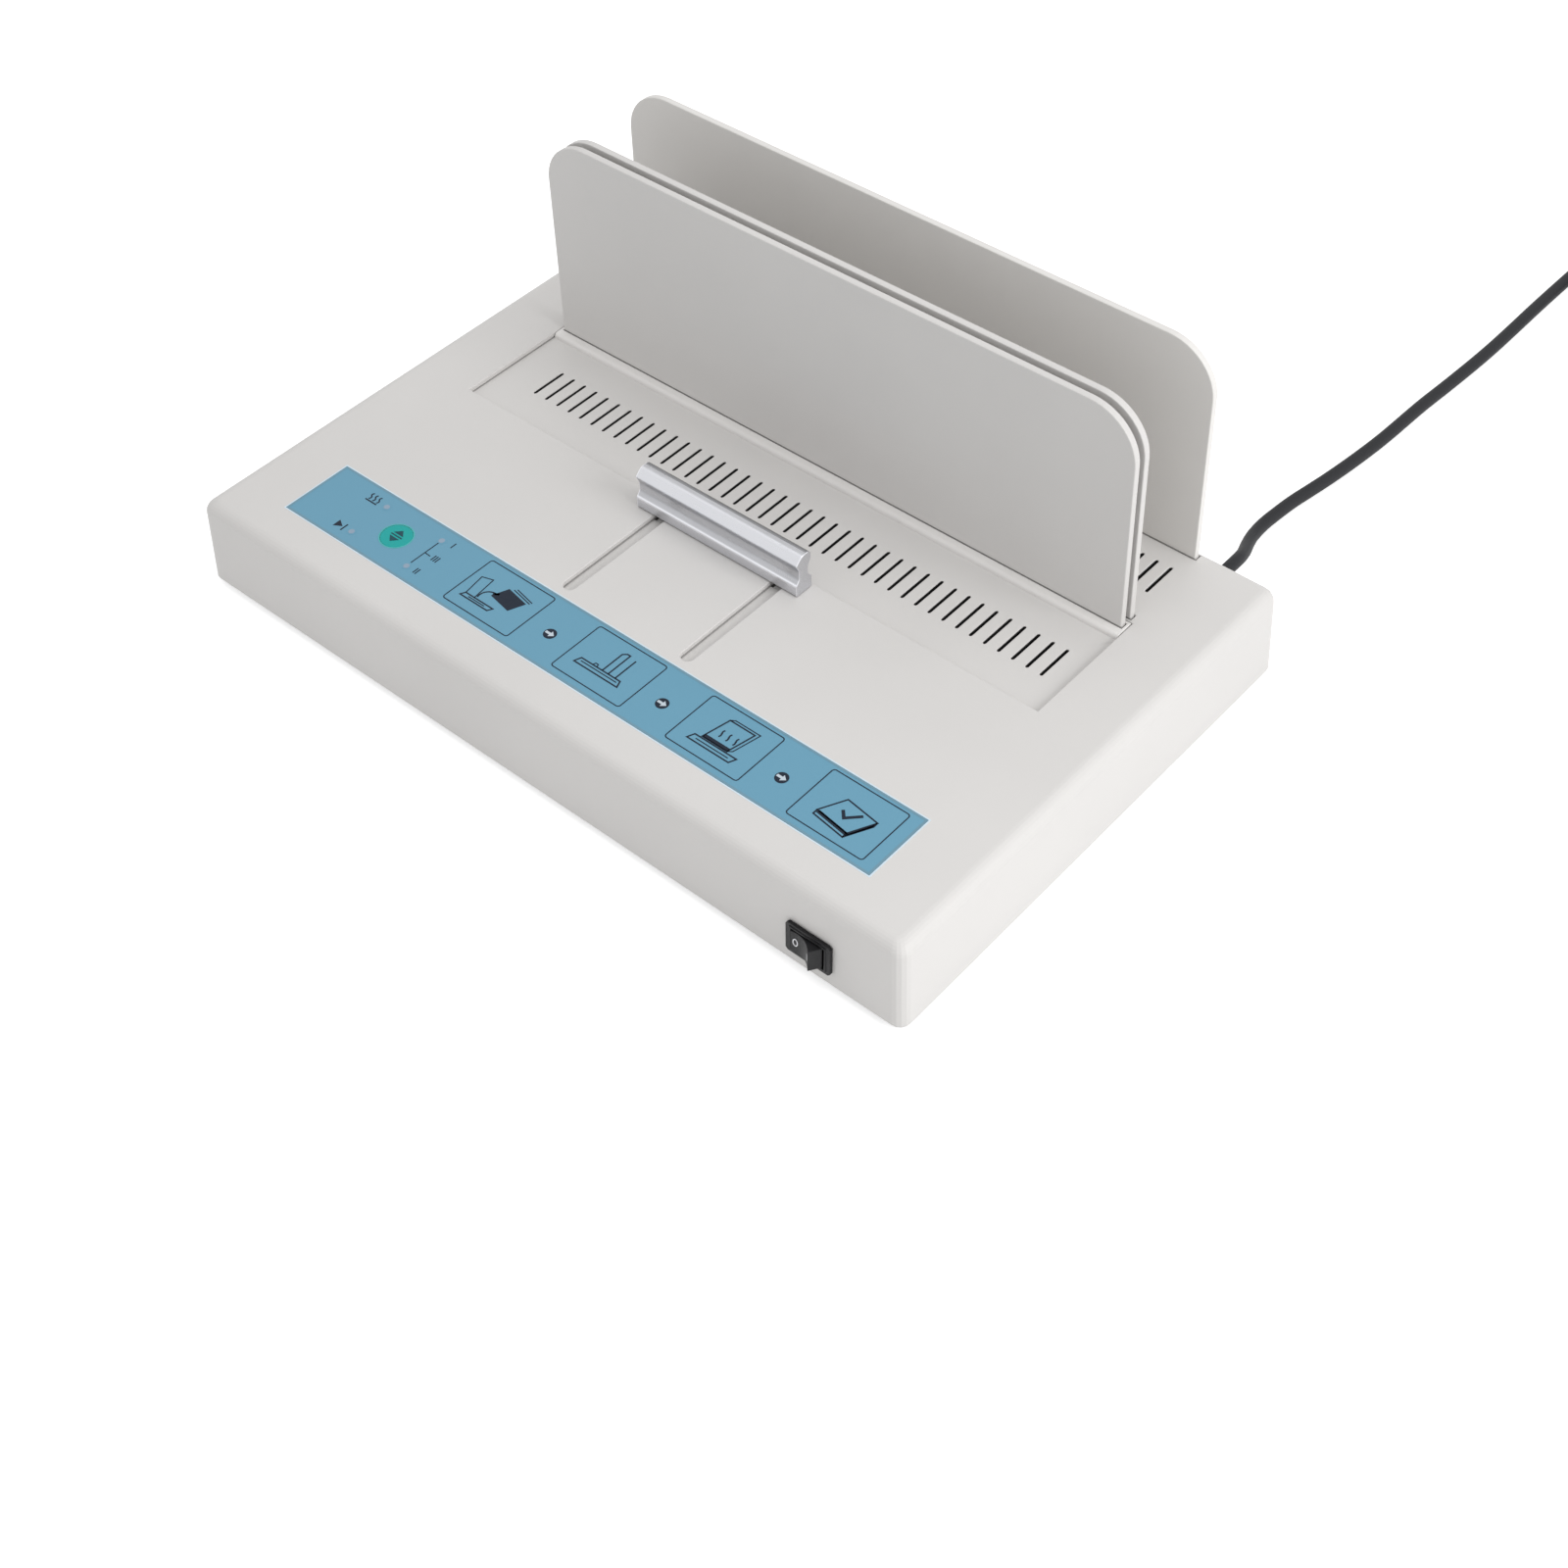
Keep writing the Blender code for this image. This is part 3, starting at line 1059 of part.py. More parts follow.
def make_heater(model):
    """The heated plate on its element and board, in a folded tray on the pan."""
    def layer(name, inset, low, high, *look):
        size_x = HEATER_LENGTH - 2 * inset
        size_y = HEATER_DEPTH - 2 * inset
        model.part(name, box_mesh(name, (size_x, size_y, high - low), (0, 0, (low + high) / 2)), *look,
                   location=(0, HEATER_Y, 0))

    layer("heater_plate", 0, HEATER_BOTTOM, HEATER_TOP, (0.70, 0.71, 0.72), 0.35, 0.9)
    layer("heating_element", ELEMENT_INSET, ELEMENT_BOTTOM, HEATER_BOTTOM - SEAT_GAP, (0.45, 0.30, 0.12),
          0.5)
    layer("insulation_board", TRAY_SHEET + SEAT_GAP, INSULATION_BOTTOM, ELEMENT_BOTTOM - SEAT_GAP,
          (0.78, 0.76, 0.70), 0.9)
    half = HEATER_DEPTH / 2
    lip = HEATER_BOTTOM - SEAT_GAP
    floor_low = TRAY_TOP - TRAY_SHEET
    section = [(-half, floor_low), (half, floor_low), (half, lip), (half - TRAY_SHEET, lip),
               (half - TRAY_SHEET, TRAY_TOP), (-half + TRAY_SHEET, TRAY_TOP), (-half + TRAY_SHEET, lip),
               (-half, lip)]
    mesh = slab("heater_tray", [section], -HEATER_LENGTH / 2, HEATER_LENGTH / 2)
    for vertex in mesh.vertices:
        y, z, x = vertex.co
        vertex.co = (x, y, z)
    tray = model.part("heater_tray", mesh, (0.55, 0.56, 0.58), 0.4, 0.8, location=(0, HEATER_Y, 0))
    foot = PAN_TOP + SEAT_GAP
    for side in (-1, 1):
        outer = side * (HEATER_LENGTH / 2 - TRAY_LEG_INSET)
        inner = outer - side * TRAY_SHEET
        toe = outer - side * TRAY_FLANGE
        y = TRAY_LEG_WIDTH / 2
        for word, end, top in (("leg", inner, floor_low + UNION_LAP), ("flange", toe, foot + TRAY_SHEET)):
            fold = span_box("tray_" + word, (min(end, outer), -y, foot), (max(end, outer), y, top))
            model.tool(tray, fold, (0, HEATER_Y, 0), "UNION")
    high = floor_low - SEAT_GAP
    radius = THERMOSTAT_DIAMETER / 2
    cap = radius * THERMOSTAT_CAP_SHARE
    rim = radius + THERMOSTAT_FLANGE
    step = high - THERMOSTAT_HEIGHT * THERMOSTAT_STEP_SHARE
    base = high - THERMOSTAT_HEIGHT
    under_rim = high - TRAY_SHEET
    profile = [(0, high), (rim, high), (rim, under_rim), (radius, under_rim), (radius, step), (cap, step),
               (cap, base), (0, base)]
    turned_part(model, "thermostat", profile, (0.35, 0.33, 0.30), 0.5, location=(0, HEATER_Y, 0))


def rocker_outline():
    """The rocker's outline seen along its pivot: a hollow front between two proud tips, and flat ends."""
    tip = (ROCKER_TIP_RADIUS * math.sin(ROCKER_TIP_ANGLE), -ROCKER_TIP_RADIUS * math.cos(ROCKER_TIP_ANGLE))
    steps = 8
    front = []
    for i in range(steps + 1):
        share = -1 + 2 * i / steps
        front.append((tip[0] * share, -ROCKER_VALLEY + (tip[1] + ROCKER_VALLEY) * share * share))
    back = ROCKER_HEEL - ROCKER_BACK
    return front + [(ROCKER_HEEL, 0), (back, ROCKER_BACK), (-back, ROCKER_BACK), (-ROCKER_HEEL, 0)]


def make_switch(model, mount):
    """The mains switch: a framed body that the rocker tips in, about an upright pin."""
    half_x = BEZEL_LENGTH / 2
    half_z = BEZEL_HEIGHT / 2
    cut_x = half_x - BEZEL_CHAMFER
    cut_z = half_z - BEZEL_CHAMFER
    frame = [(-cut_x, -half_z), (cut_x, -half_z), (half_x, -cut_z), (half_x, cut_z), (cut_x, half_z),
             (-cut_x, half_z), (-half_x, cut_z), (-half_x, -cut_z)]
    # The frame's slab is made flat and then stood up against the wall
    mesh = slab("switch_body", [frame], SEAT_GAP, BEZEL_PROUD)
    for vertex in mesh.vertices:
        x, z, out = vertex.co
        vertex.co = (x, -out, z)
    build = bmesh.new()
    build.from_mesh(mesh)
    bpy.data.meshes.remove(mesh)
    body = model.part("switch_body", finish_mesh("switch_body", build), (0.025, 0.025, 0.028), 0.35,
                      parent=mount)
    box = span_box("switch_box", (-SWITCH_BODY_LENGTH / 2, -SEAT_GAP - UNION_LAP, -SWITCH_BODY_HEIGHT / 2),
                   (SWITCH_BODY_LENGTH / 2, SWITCH_BODY_DEPTH, SWITCH_BODY_HEIGHT / 2))
    model.tool(body, box, operation="UNION", parent=mount)
    tab_y = SWITCH_BODY_DEPTH + SWITCH_TAB[1] / 2 - UNION_LAP
    for side in (-1, 1):
        tab = box_mesh("switch_tab", SWITCH_TAB, (side * SWITCH_TAB_SPREAD, tab_y, 0))
        model.tool(body, tab, operation="UNION", parent=mount)
    wide = ROCKER_WINDOW / 2
    high = ROCKER_WINDOW_HEIGHT / 2
    rim = span_box("switch_rim", (-wide - BEZEL_RIM, -BEZEL_PROUD - BEZEL_RIM_PROUD, -high - BEZEL_RIM),
                   (wide + BEZEL_RIM, UNION_LAP - BEZEL_PROUD, high + BEZEL_RIM))
    model.tool(body, rim, operation="UNION", parent=mount)
    window = span_box("switch_window", (-wide, -BEZEL_PROUD - OVERRUN, -high),
                      (wide, SWITCH_BODY_DEPTH - SWITCH_FLOOR, high))
    model.tool(body, window, parent=mount)
    rise = high - SEAT_GAP
    pin_reach = rise + ROCKER_PIN_LENGTH
    # The bore ends just outside the box, behind the frame
    bore_reach = pin_reach + SEAT_GAP
    bore = rod_mesh("switch_bore", ROCKER_PIN_DIAMETER + 2 * SEAT_GAP, -bore_reach, bore_reach, 16)
    model.tool(body, bore, (0, ROCKER_PIVOT, 0), parent=mount)
    pivot = model.empty("rocker_pivot", (0, ROCKER_PIVOT, 0), mount)
    rocker = model.part("rocker", slab("rocker", [rocker_outline()], -rise, rise), (0.03, 0.03, 0.033), 0.3,
                        rotation=(0, 0, -ROCKER_TILT), parent=pivot)
    pin = rod_mesh("rocker_pin", ROCKER_PIN_DIAMETER, -pin_reach, pin_reach, 12)
    model.tool(rocker, pin, operation="UNION", parent=pivot)


def make_terminal(model):
    """The terminal block behind the middle plate."""
    width, depth, height = TERMINAL_SIZE
    half = depth / 2
    inner = half - TERMINAL_STEP
    low = PAN_TOP + SEAT_GAP
    high = low + height
    step = high - TERMINAL_STEP
    section = [(-half, low), (half, low), (half, step), (inner, step), (inner, high), (-inner, high),
               (-inner, step), (-half, step)]
    mesh = slab("terminal_block", [section], -width / 2, width / 2)
    for vertex in mesh.vertices:
        y, z, x = vertex.co
        vertex.co = (x, y, z)
    model.part("terminal_block", mesh, (0.70, 0.69, 0.64), 0.5, location=(TERMINAL_X, RACK_Y, 0))


def make_relief(model, mount):
    """The moulded strain relief in the rear wall. Its Z axis points out along the lead."""
    neck = RELIEF_NECK_DIAMETER / 2
    flange = RELIEF_FLANGE_DIAMETER / 2
    tip = LEAD_DIAMETER / 2 + RELIEF_TIP_WALL
    out = SEAT_GAP + RELIEF_FLANGE
    inner = -COVER_WALL - SEAT_GAP
    nut = inner - RELIEF_FLANGE
    end = nut - RELIEF_INNER_LENGTH
    groove = RELIEF_TIP_WALL / 2
    profile = [(0, RELIEF_LENGTH), (tip, RELIEF_LENGTH)]
    for share in (0.8, 0.6, 0.4, 0.2):
        height = out + (RELIEF_LENGTH - out) * share
        radius = tip + (neck - tip) * (1 - share)
        profile += [(radius, height + groove), (radius - groove, height),
                    (radius - groove / 2, height - groove)]
    profile += [(neck, out), (flange, out), (flange, SEAT_GAP), (neck, SEAT_GAP), (neck, inner),
                (flange, inner), (flange, nut), (neck, nut), (neck, end), (0, end)]
    return turned_part(model, "strain_relief", profile, (0.03, 0.03, 0.03), 0.6, segments=16, parent=mount)


def smooth_route(knots, step):
    """Points about a step apart on a smooth curve through the knots."""
    knots = [Vector(knot) for knot in knots]
    padded = [2 * knots[0] - knots[1]] + knots + [2 * knots[-1] - knots[-2]]
    points = [knots[0]]
    for a, b, c, d in zip(padded, padded[1:], padded[2:], padded[3:]):
        pieces = max(1, round((c - b).length / step))
        for i in range(1, pieces + 1):
            t = i / pieces
            points.append(0.5 * (2 * b + (c - a) * t + (2 * a - 5 * b + 4 * c - d) * t * t
                                 + (3 * b - a - 3 * c + d) * t * t * t))
    return points


def coil_points(centre):
    """A lead wound in two layers: in along the floor, up a layer, and out again on top."""
    sweep = COIL_TURNS_A_LAYER * math.tau
    steps = round(2 * COIL_TURNS_A_LAYER * COIL_LOOP_POINTS)
    low = LEAD_DIAMETER / 2 + LEAD_LIFT
    points = []
    for i in range(steps + 1):
        turn = -sweep + 2 * sweep * i / steps
        radius = COIL_INNER_RADIUS + COIL_PITCH * abs(turn) / math.tau
        rise = min(max(turn / math.pi + 0.5, 0), 1)
        rise = rise * rise * (3 - 2 * rise)
        angle = math.pi - (turn + sweep)
        points.append(Vector((centre[0] + radius * math.cos(angle), centre[1] + radius * math.sin(angle),
                              low + COIL_PITCH * rise)))
    start = points[0] + Vector((0, -LEAD_DIAMETER, 0))
    tail = [points[-1] + Vector((0, -COIL_TAIL * i / 3, 0)) for i in (1, 2, 3)]
    return [start] + points + tail


def least_gap(points, diameter, spacing):
    """The least gap between turns of a tube, from points along it."""
    least = math.inf
    reach = math.ceil(math.pi * spacing)
    for i, a in enumerate(points):
        for b, c in zip(points[i + reach:], points[i + reach + 1:]):
            along = c - b
            share = min(max((a - b).dot(along) / along.length_squared, 0), 1)
            least = min(least, (a - b - along * share).length)
    return least - diameter


def make_lead(model, relief):
    """The lead: along the floor behind the housing, wound up, and its plug."""
    bpy.context.view_layer.update()
    tip = relief.matrix_world @ Vector((0, 0, RELIEF_LENGTH + SEAT_GAP))
    out = (relief.matrix_world.to_3x3() @ Vector((0, 0, 1))).normalized()
    knots = [tip, tip + out * LEAD_DIAMETER]
    knots += [Vector((tip.x + x, tip.y + y, z)) for x, y, z in LEAD_ROUTE]
    route = smooth_route(knots, LEAD_STEP)
    black = (0.02, 0.02, 0.022)
    model.part("power_cord", tube("power_cord", route, LEAD_DIAMETER / 2, 2), black, 0.5)
    end = route[-1]
    centre = (end.x + COIL_OUTER_RADIUS, end.y + SEAT_GAP + LEAD_DIAMETER)
    wound = coil_points(centre)
    model.part("cord_coil", tube("cord_coil", wound, LEAD_DIAMETER / 2, 1), black, 0.5)
    gap = least_gap(wound, LEAD_DIAMETER, COIL_LOOP_POINTS / math.tau)
    whole = route + wound
    length = sum((b - a).length for a, b in zip(whole, whole[1:]))
    print("coil: least gap to itself {:.2f} mm".format(gap * 1000))
    print("lead: {:.3f} m from the relief to the plug".format(length))
    make_plug(model, wound[-1])


def make_plug(model, entry):
    """A flat three-pin plug that lies where the lead ends, pins to the front."""
    holder = model.empty("plug_place", (entry.x, entry.y - SEAT_GAP, 0))
    half = PLUG_WIDTH / 2
    neck = LEAD_DIAMETER
    outline = [(-neck, 0), (neck, 0), (half, -PLUG_SHOULDER), (half, -PLUG_LENGTH), (-half, -PLUG_LENGTH),
               (-half, -PLUG_SHOULDER)]
    mesh = slab("plug_body", [outline[::-1]], LEAD_LIFT, LEAD_LIFT + PLUG_THICKNESS)
    body = model.part("plug_body", mesh, (0.025, 0.025, 0.027), 0.5, parent=holder)
    edge = body.modifiers.new("edge", "BEVEL")
    edge.width = PLUG_BEVEL
    edge.segments = 2
    edge.limit_method = "ANGLE"
    middle = LEAD_LIFT + PLUG_THICKNESS / 2
    reach = PLUG_PIN_LENGTH / 2 + SEAT_GAP
    pins = {
        "plug_pin_live": ((-PLUG_PIN_SPREAD, middle + PLUG_EARTH_DROP / 4), PLUG_PIN_TILT),
        "plug_pin_neutral": ((PLUG_PIN_SPREAD, middle + PLUG_EARTH_DROP / 4), -PLUG_PIN_TILT),
        "plug_pin_earth": ((0, middle - PLUG_EARTH_DROP / 4), math.pi / 2),
    }
    for name, ((x, z), turn) in pins.items():
        pin = box_mesh(name, (PLUG_PIN_WIDTH, PLUG_PIN_LENGTH, PLUG_PIN_THICKNESS))
        model.part(name, pin, (0.72, 0.60, 0.35), 0.3, 0.9, location=(x, -PLUG_LENGTH - reach, z),
                   rotation=(0, turn + math.pi / 2, 0), parent=holder)


def centre_footprint(model, names_left_out):
    """Moves the whole model so that the origin is under the middle of the machine."""
    bpy.context.view_layer.update()
    graph = bpy.context.evaluated_depsgraph_get()
    low = math.inf
    high = -math.inf
    for piece in model.parts.objects:
        if piece.type != "MESH" or piece.name in names_left_out:
            continue
        shown = piece.evaluated_get(graph)
        for vertex in shown.data.vertices:
            y = (shown.matrix_world @ vertex.co).y
            low = min(low, y)
            high = max(high, y)
    model.root.location.y = -(low + high) / 2
    print("footprint: moved {:.3f} mm back".format(model.root.location.y * 1000))


def main():
    clear_scene()
    model = Model()
    cover, switch_place, relief_place = make_cover(model)
    smooth_look(cover)
    make_label(model)
    make_controls(model)
    make_carriage(model)
    make_plate(model, "middle_plate", MIDDLE_PLATE_Y, TOP - PLATE_FOOT_DEPTH, PAN_TOP + SEAT_GAP)
    make_plate(model, "rear_plate", REAR_PLATE_Y, TOP - PLATE_FOOT_DEPTH, PAN_TOP + SEAT_GAP)
    make_pan(model)
    make_feet(model)
    make_heater(model)
    make_rails(model)
    make_springs(model)
    make_terminal(model)
    make_switch(model, switch_place)
    for word, (x, y) in boss_places().items():
        make_screw(model, "case_screw_" + word, x, y, PAN_TOP - PAN_THICKNESS - SEAT_GAP,
                   PAN_THICKNESS + SCREW_BITE)
    for word, (x, y) in board_places().items():
        make_screw(model, "board_screw_" + word, x, y, BOARD_TOP - BOARD_THICKNESS - SEAT_GAP,
                   BOARD_DROP + BOARD_THICKNESS / 2)
    relief = make_relief(model, relief_place)
    make_lead(model, relief)
    lead = {"strain_relief", "power_cord", "cord_coil", "plug_body", "plug_pin_live", "plug_pin_neutral",
            "plug_pin_earth"}
    centre_footprint(model, lead)


main()
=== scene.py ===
"""The looks of a desk-top thermal binding machine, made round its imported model.

Metres, +Z up, +X to the right as seen from the front, front towards -Y.
"""
import json
import math

import bmesh
import bpy
from mathutils import Matrix, Vector
from mathutils.bvhtree import BVHTree

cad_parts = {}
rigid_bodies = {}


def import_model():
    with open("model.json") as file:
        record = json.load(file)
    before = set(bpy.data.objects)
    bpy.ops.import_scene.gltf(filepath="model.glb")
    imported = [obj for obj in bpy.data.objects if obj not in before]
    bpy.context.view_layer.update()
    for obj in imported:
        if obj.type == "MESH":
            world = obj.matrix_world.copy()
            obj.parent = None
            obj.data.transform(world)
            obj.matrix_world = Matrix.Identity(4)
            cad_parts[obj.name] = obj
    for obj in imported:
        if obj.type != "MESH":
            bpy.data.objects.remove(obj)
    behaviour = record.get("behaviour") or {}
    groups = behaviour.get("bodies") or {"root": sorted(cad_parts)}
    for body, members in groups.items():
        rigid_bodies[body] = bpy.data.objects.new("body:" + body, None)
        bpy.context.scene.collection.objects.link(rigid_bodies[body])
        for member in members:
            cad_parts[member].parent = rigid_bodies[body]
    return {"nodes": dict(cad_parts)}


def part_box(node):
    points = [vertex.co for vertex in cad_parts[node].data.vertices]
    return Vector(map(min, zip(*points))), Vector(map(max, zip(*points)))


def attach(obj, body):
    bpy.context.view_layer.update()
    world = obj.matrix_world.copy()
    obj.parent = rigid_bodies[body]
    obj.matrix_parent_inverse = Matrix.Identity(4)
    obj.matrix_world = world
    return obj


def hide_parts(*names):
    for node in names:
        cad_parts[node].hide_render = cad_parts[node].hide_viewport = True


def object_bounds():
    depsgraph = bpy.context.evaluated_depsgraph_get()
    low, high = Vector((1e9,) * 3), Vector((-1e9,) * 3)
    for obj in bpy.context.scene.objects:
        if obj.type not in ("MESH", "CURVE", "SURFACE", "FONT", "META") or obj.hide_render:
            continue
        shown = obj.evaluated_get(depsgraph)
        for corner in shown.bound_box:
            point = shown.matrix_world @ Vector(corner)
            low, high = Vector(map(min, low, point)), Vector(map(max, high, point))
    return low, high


for item in list(bpy.data.objects):
    bpy.data.objects.remove(item, do_unlink=True)
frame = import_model()
CAD_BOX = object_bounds()
NODES = frame["nodes"]

# Camera: place, direction and lens as worked out from the straight edges in the photograph
CAMERA_PLACE = (0.5430, -0.5605, 0.7492)
CAMERA_AZIMUTH = math.radians(42.17)
CAMERA_ELEVATION = math.radians(42.97)
CAMERA_ROLL = math.radians(-1.94)
CAMERA_LENS = 57.73
CAMERA_SHIFT = -0.125

# Studio
FLOOR_REACH = 4.0
FLOOR_GLOW = 0.6
FLOOR_COLOUR = (0.86, 0.86, 0.86, 1)
SKY_LEVEL = 0.66
WHITE = (1, 1, 1, 1)
LAMP_TARGET = (0, 0, 0.05)
LAMPS = (("lamp_right", (1.7, 0.12, 0.95), 1.0, 14), ("lamp_top", (0.2, 0.3, 2.4), 1.8, 11))

# Finishes: the stretch of a noise that is used, the least roughness, and the reflection of those
# that stay dark or deep in colour
NOISE_LOW = 0.3
NOISE_HIGH = 0.7
LEAST_ROUGHNESS = 0.02
MATT_SPECULAR = 0.3

# Softened edges: widths by the kind of piece, and the pieces whose bevels keep their width at
# the corners, so that their end faces stay flat
WELD_GAP = 0.000004
EDGE_STEPS = 2
EDGE_ANGLE = math.radians(40)
FACE_WEIGHT = 100
BROAD_EDGE = 0.0004
PLAIN_EDGE = 0.0003
HANDLE_EDGE = 0.00025
SMALL_EDGE = 0.0002
KEY_EDGE = 0.0001
FILM_EDGE = 0.00008
SHARP = 0.0
EVEN_BEVELS = ("handle_bar",)

# Lead: the same route as the solid one
LEAD_DIAMETER = 0.006
LEAD_LIFT = 0.0002
LEAD_GAP = 0.0003
LEAD_STEP = 0.004
LEAD_SIDE_STEPS = 4
RELIEF_LEAN = math.radians(1.9)
LEAD_ROUTE = (
    (-0.0006, 0.0138, 0.0150),
    (-0.0030, 0.0222, 0.0113),
    (-0.0067, 0.0314, 0.0075),
    (-0.0097, 0.0410, 0.0046),
    (-0.0109, 0.0508, 0.0033),
    (-0.0105, 0.0594, 0.0032),
    (-0.0093, 0.0719, 0.0032),
    (-0.0074, 0.0835, 0.0032),
    (-0.0055, 0.0951, 0.0032),
    (-0.0039, 0.1069, 0.0032),
    (-0.0026, 0.1183, 0.0032),
    (-0.0015, 0.1300, 0.0032),
    (-0.0007, 0.1430, 0.0032),
    (0.0003, 0.1679, 0.0032),
    (0.0018, 0.1880, 0.0032),
    (0.0031, 0.2083, 0.0032),
    (0.0039, 0.2260, 0.0032),
    (0.0042, 0.2437, 0.0032),
    (0.0044, 0.2722, 0.0032),
    (0.0050, 0.3008, 0.0032),
    (0.0056, 0.3200, 0.0032),
    (0.0058, 0.3350, 0.0032),
)
COIL_TURNS_A_LAYER = 3.25
COIL_SPACING = 0.0006
COIL_INNER_RADIUS = 0.0246
COIL_LOOP_POINTS = 48
COIL_PITCH = LEAD_DIAMETER + COIL_SPACING
COIL_OUTER_RADIUS = COIL_INNER_RADIUS + COIL_PITCH * COIL_TURNS_A_LAYER
TIE_WIDTH = 0.012
TIE_THICKNESS = 0.00015
TIE_ANGLE = math.radians(55)
TIE_CORNER_STEPS = 6

# Shade in the slits, below the deck and below the carriage's floor, as a share of the colour
SLIT_EDGE = 0.0004
CARRIAGE_DROP = 0.0026
SLIT_SHARE = 0.06

# Light on the raised band in front of the plate, as a share of the colour
BAND_FOOT = 0.0003
BAND_SHARE = 1.2

# Shade in the thin gaps at the plates' feet, along the walls that stand over the carriage, and
# where each groove meets the handle
FOOT_LINE = 0.0004
FOOT_SHARE = 0.42
WALL_LINE = 0.0003
WALL_SHARE = 0.68
OPENING_PAST_PLATE = 0.0022
GROOVE_HALF_WIDTH = 0.0031
NOTCH_WIDTH = 0.0013
NOTCH_SETBACK = 0.0008
NOTCH_SHARE = 0.12

# Shade on the handle, as heights above its foot and shares of its colour
HANDLE_LEVELS = (
    (0.0, 0.38), (0.0005, 0.70), (0.0046, 0.76), (0.0050, 1.0), (0.0060, 0.96), (0.0065, 0.56),
    (0.0080, 0.56), (0.0092, 0.70), (0.0105, 0.68), (0.0124, 0.58), (0.0140, 0.57), (0.0159, 0.64),
    (0.0164, 0.77),
)
HANDLE_RIM = 0.0004
HANDLE_END = 0.00005
HANDLE_END_SHARE = 0.74
HANDLE_BACK_DEPTH = 0.0030
HANDLE_BACK_DROP = 0.0024
HANDLE_BACK_SHARE = 0.55

# Print, pale strip and painted edge shade on the control film: places are steps right and back from its
# middle
LAMP_NODES = ("lamp_heat", "lamp_ready", "lamp_level_one", "lamp_level_two")
MILLIMETRE = 0.001
PRINT_LOW = 0.00002
PRINT_HIGH = 0.00006
FINE_LINE = 0.0005
BOLD_LINE = 0.00068
LEAST_MITRE = 0.5
FRAME_SIZE = (0.0373, 0.0286)
FRAME_CORNER = 0.0013
FRAME_PLACES = ((-0.0498, 0.00085), (0.01265, 0.00085), (0.07435, 0.00085), (0.1361, 0.00085))
DISC_RADIUS = 0.0029
DISC_PLACES = ((-0.0186, -0.00105), (0.0432, -0.00105), (0.1051, -0.00105))
NUMERAL_HEIGHT = 0.0034
NUMERAL_PITCH = 0.0012
NUMERAL_LINE = 0.00055
NUMERAL_PLACES = ((1, -0.0875, 0.01095), (3, -0.0873, 0.0005), (2, -0.0881, -0.0096))
LEVEL_LINE = ((-0.09375, 0.0083), (-0.09375, -0.00755))
LEVEL_BRANCH = ((-0.09375, 0.0005), (-0.0904, 0.0003))
HEAT_PLACE = (-0.1357, 0.01075)
RUN_PLACE = (-0.1354, -0.01025)
RIM_WIDTH = 0.0006
RIM_OFFSET = 0.0004
RIM_DEPTH = 0.0001
EDGE_SHADE_WIDTH = 0.0010
EDGE_SHADE_INSET = 0.0005
BACK_REACH = 0.0003
WINDOW_RADIUS = 0.0014
WINDOW_COVER_RADIUS = 0.0021
KEY_RING_RADIUS = 0.00742
KEY_RING_WIDTH = 0.0006
KEY_RING_POINTS = 64

# Marks on the rocker, as steps right and up from its middle in the front view
MARK_LIFT = 0.00005
OFF_MARK = (-0.0052, 0.0, 0.0010, 0.0018)
OFF_LINE = 0.00045
OFF_POINTS = 24
ON_MARK = (0.0026, 0.0, 0.0005, 0.0018)


def middle(node):
    """The middle of a node's box."""
    low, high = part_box(node)
    return (low + high) / 2


def set_camera():
    """The camera, level with the photograph's edges."""
    azimuth, elevation = CAMERA_AZIMUTH, CAMERA_ELEVATION
    ahead = Vector((-math.sin(azimuth) * math.cos(elevation), math.cos(azimuth) * math.cos(elevation),
                    -math.sin(elevation)))
    level = Vector((math.cos(azimuth), math.sin(azimuth), 0))
    rise = level.cross(ahead)
    right = level * math.cos(CAMERA_ROLL) + rise * math.sin(CAMERA_ROLL)
    up = right.cross(ahead)
    data = bpy.data.cameras.new("camera")
    data.lens = CAMERA_LENS
    data.shift_y = CAMERA_SHIFT
    camera = bpy.data.objects.new("camera", data)
    camera.matrix_world = Matrix((
        (right.x, up.x, -ahead.x, CAMERA_PLACE[0]),
        (right.y, up.y, -ahead.y, CAMERA_PLACE[1]),
        (right.z, up.z, -ahead.z, CAMERA_PLACE[2]),
        (0, 0, 0, 1),
    ))
    bpy.context.scene.collection.objects.link(camera)
    bpy.context.scene.camera = camera


def add_node(tree, kind, inputs=None, **settings):
    """A shader node with its settings and its unlinked inputs."""
    node = tree.nodes.new(kind)
    for key, value in settings.items():
        setattr(node, key, value)
    for key, value in (inputs or {}).items():
        node.inputs[key].default_value = value
    return node


def larger(tree, first, second):
    """The larger of two values."""
    most = add_node(tree, "ShaderNodeMath", operation="MAXIMUM")
    tree.links.new(first, most.inputs[0])
    tree.links.new(second, most.inputs[1])
    return most.outputs[0]


def linear(red, green, blue):
    """A colour as read off a picture, from 0 to 255, in linear light."""
    channels = []
    for value in (red, green, blue):
        value /= 255
        channels.append(value / 12.92 if value <= 0.04045 else ((value + 0.055) / 1.055) ** 2.4)
    return (*channels, 1)


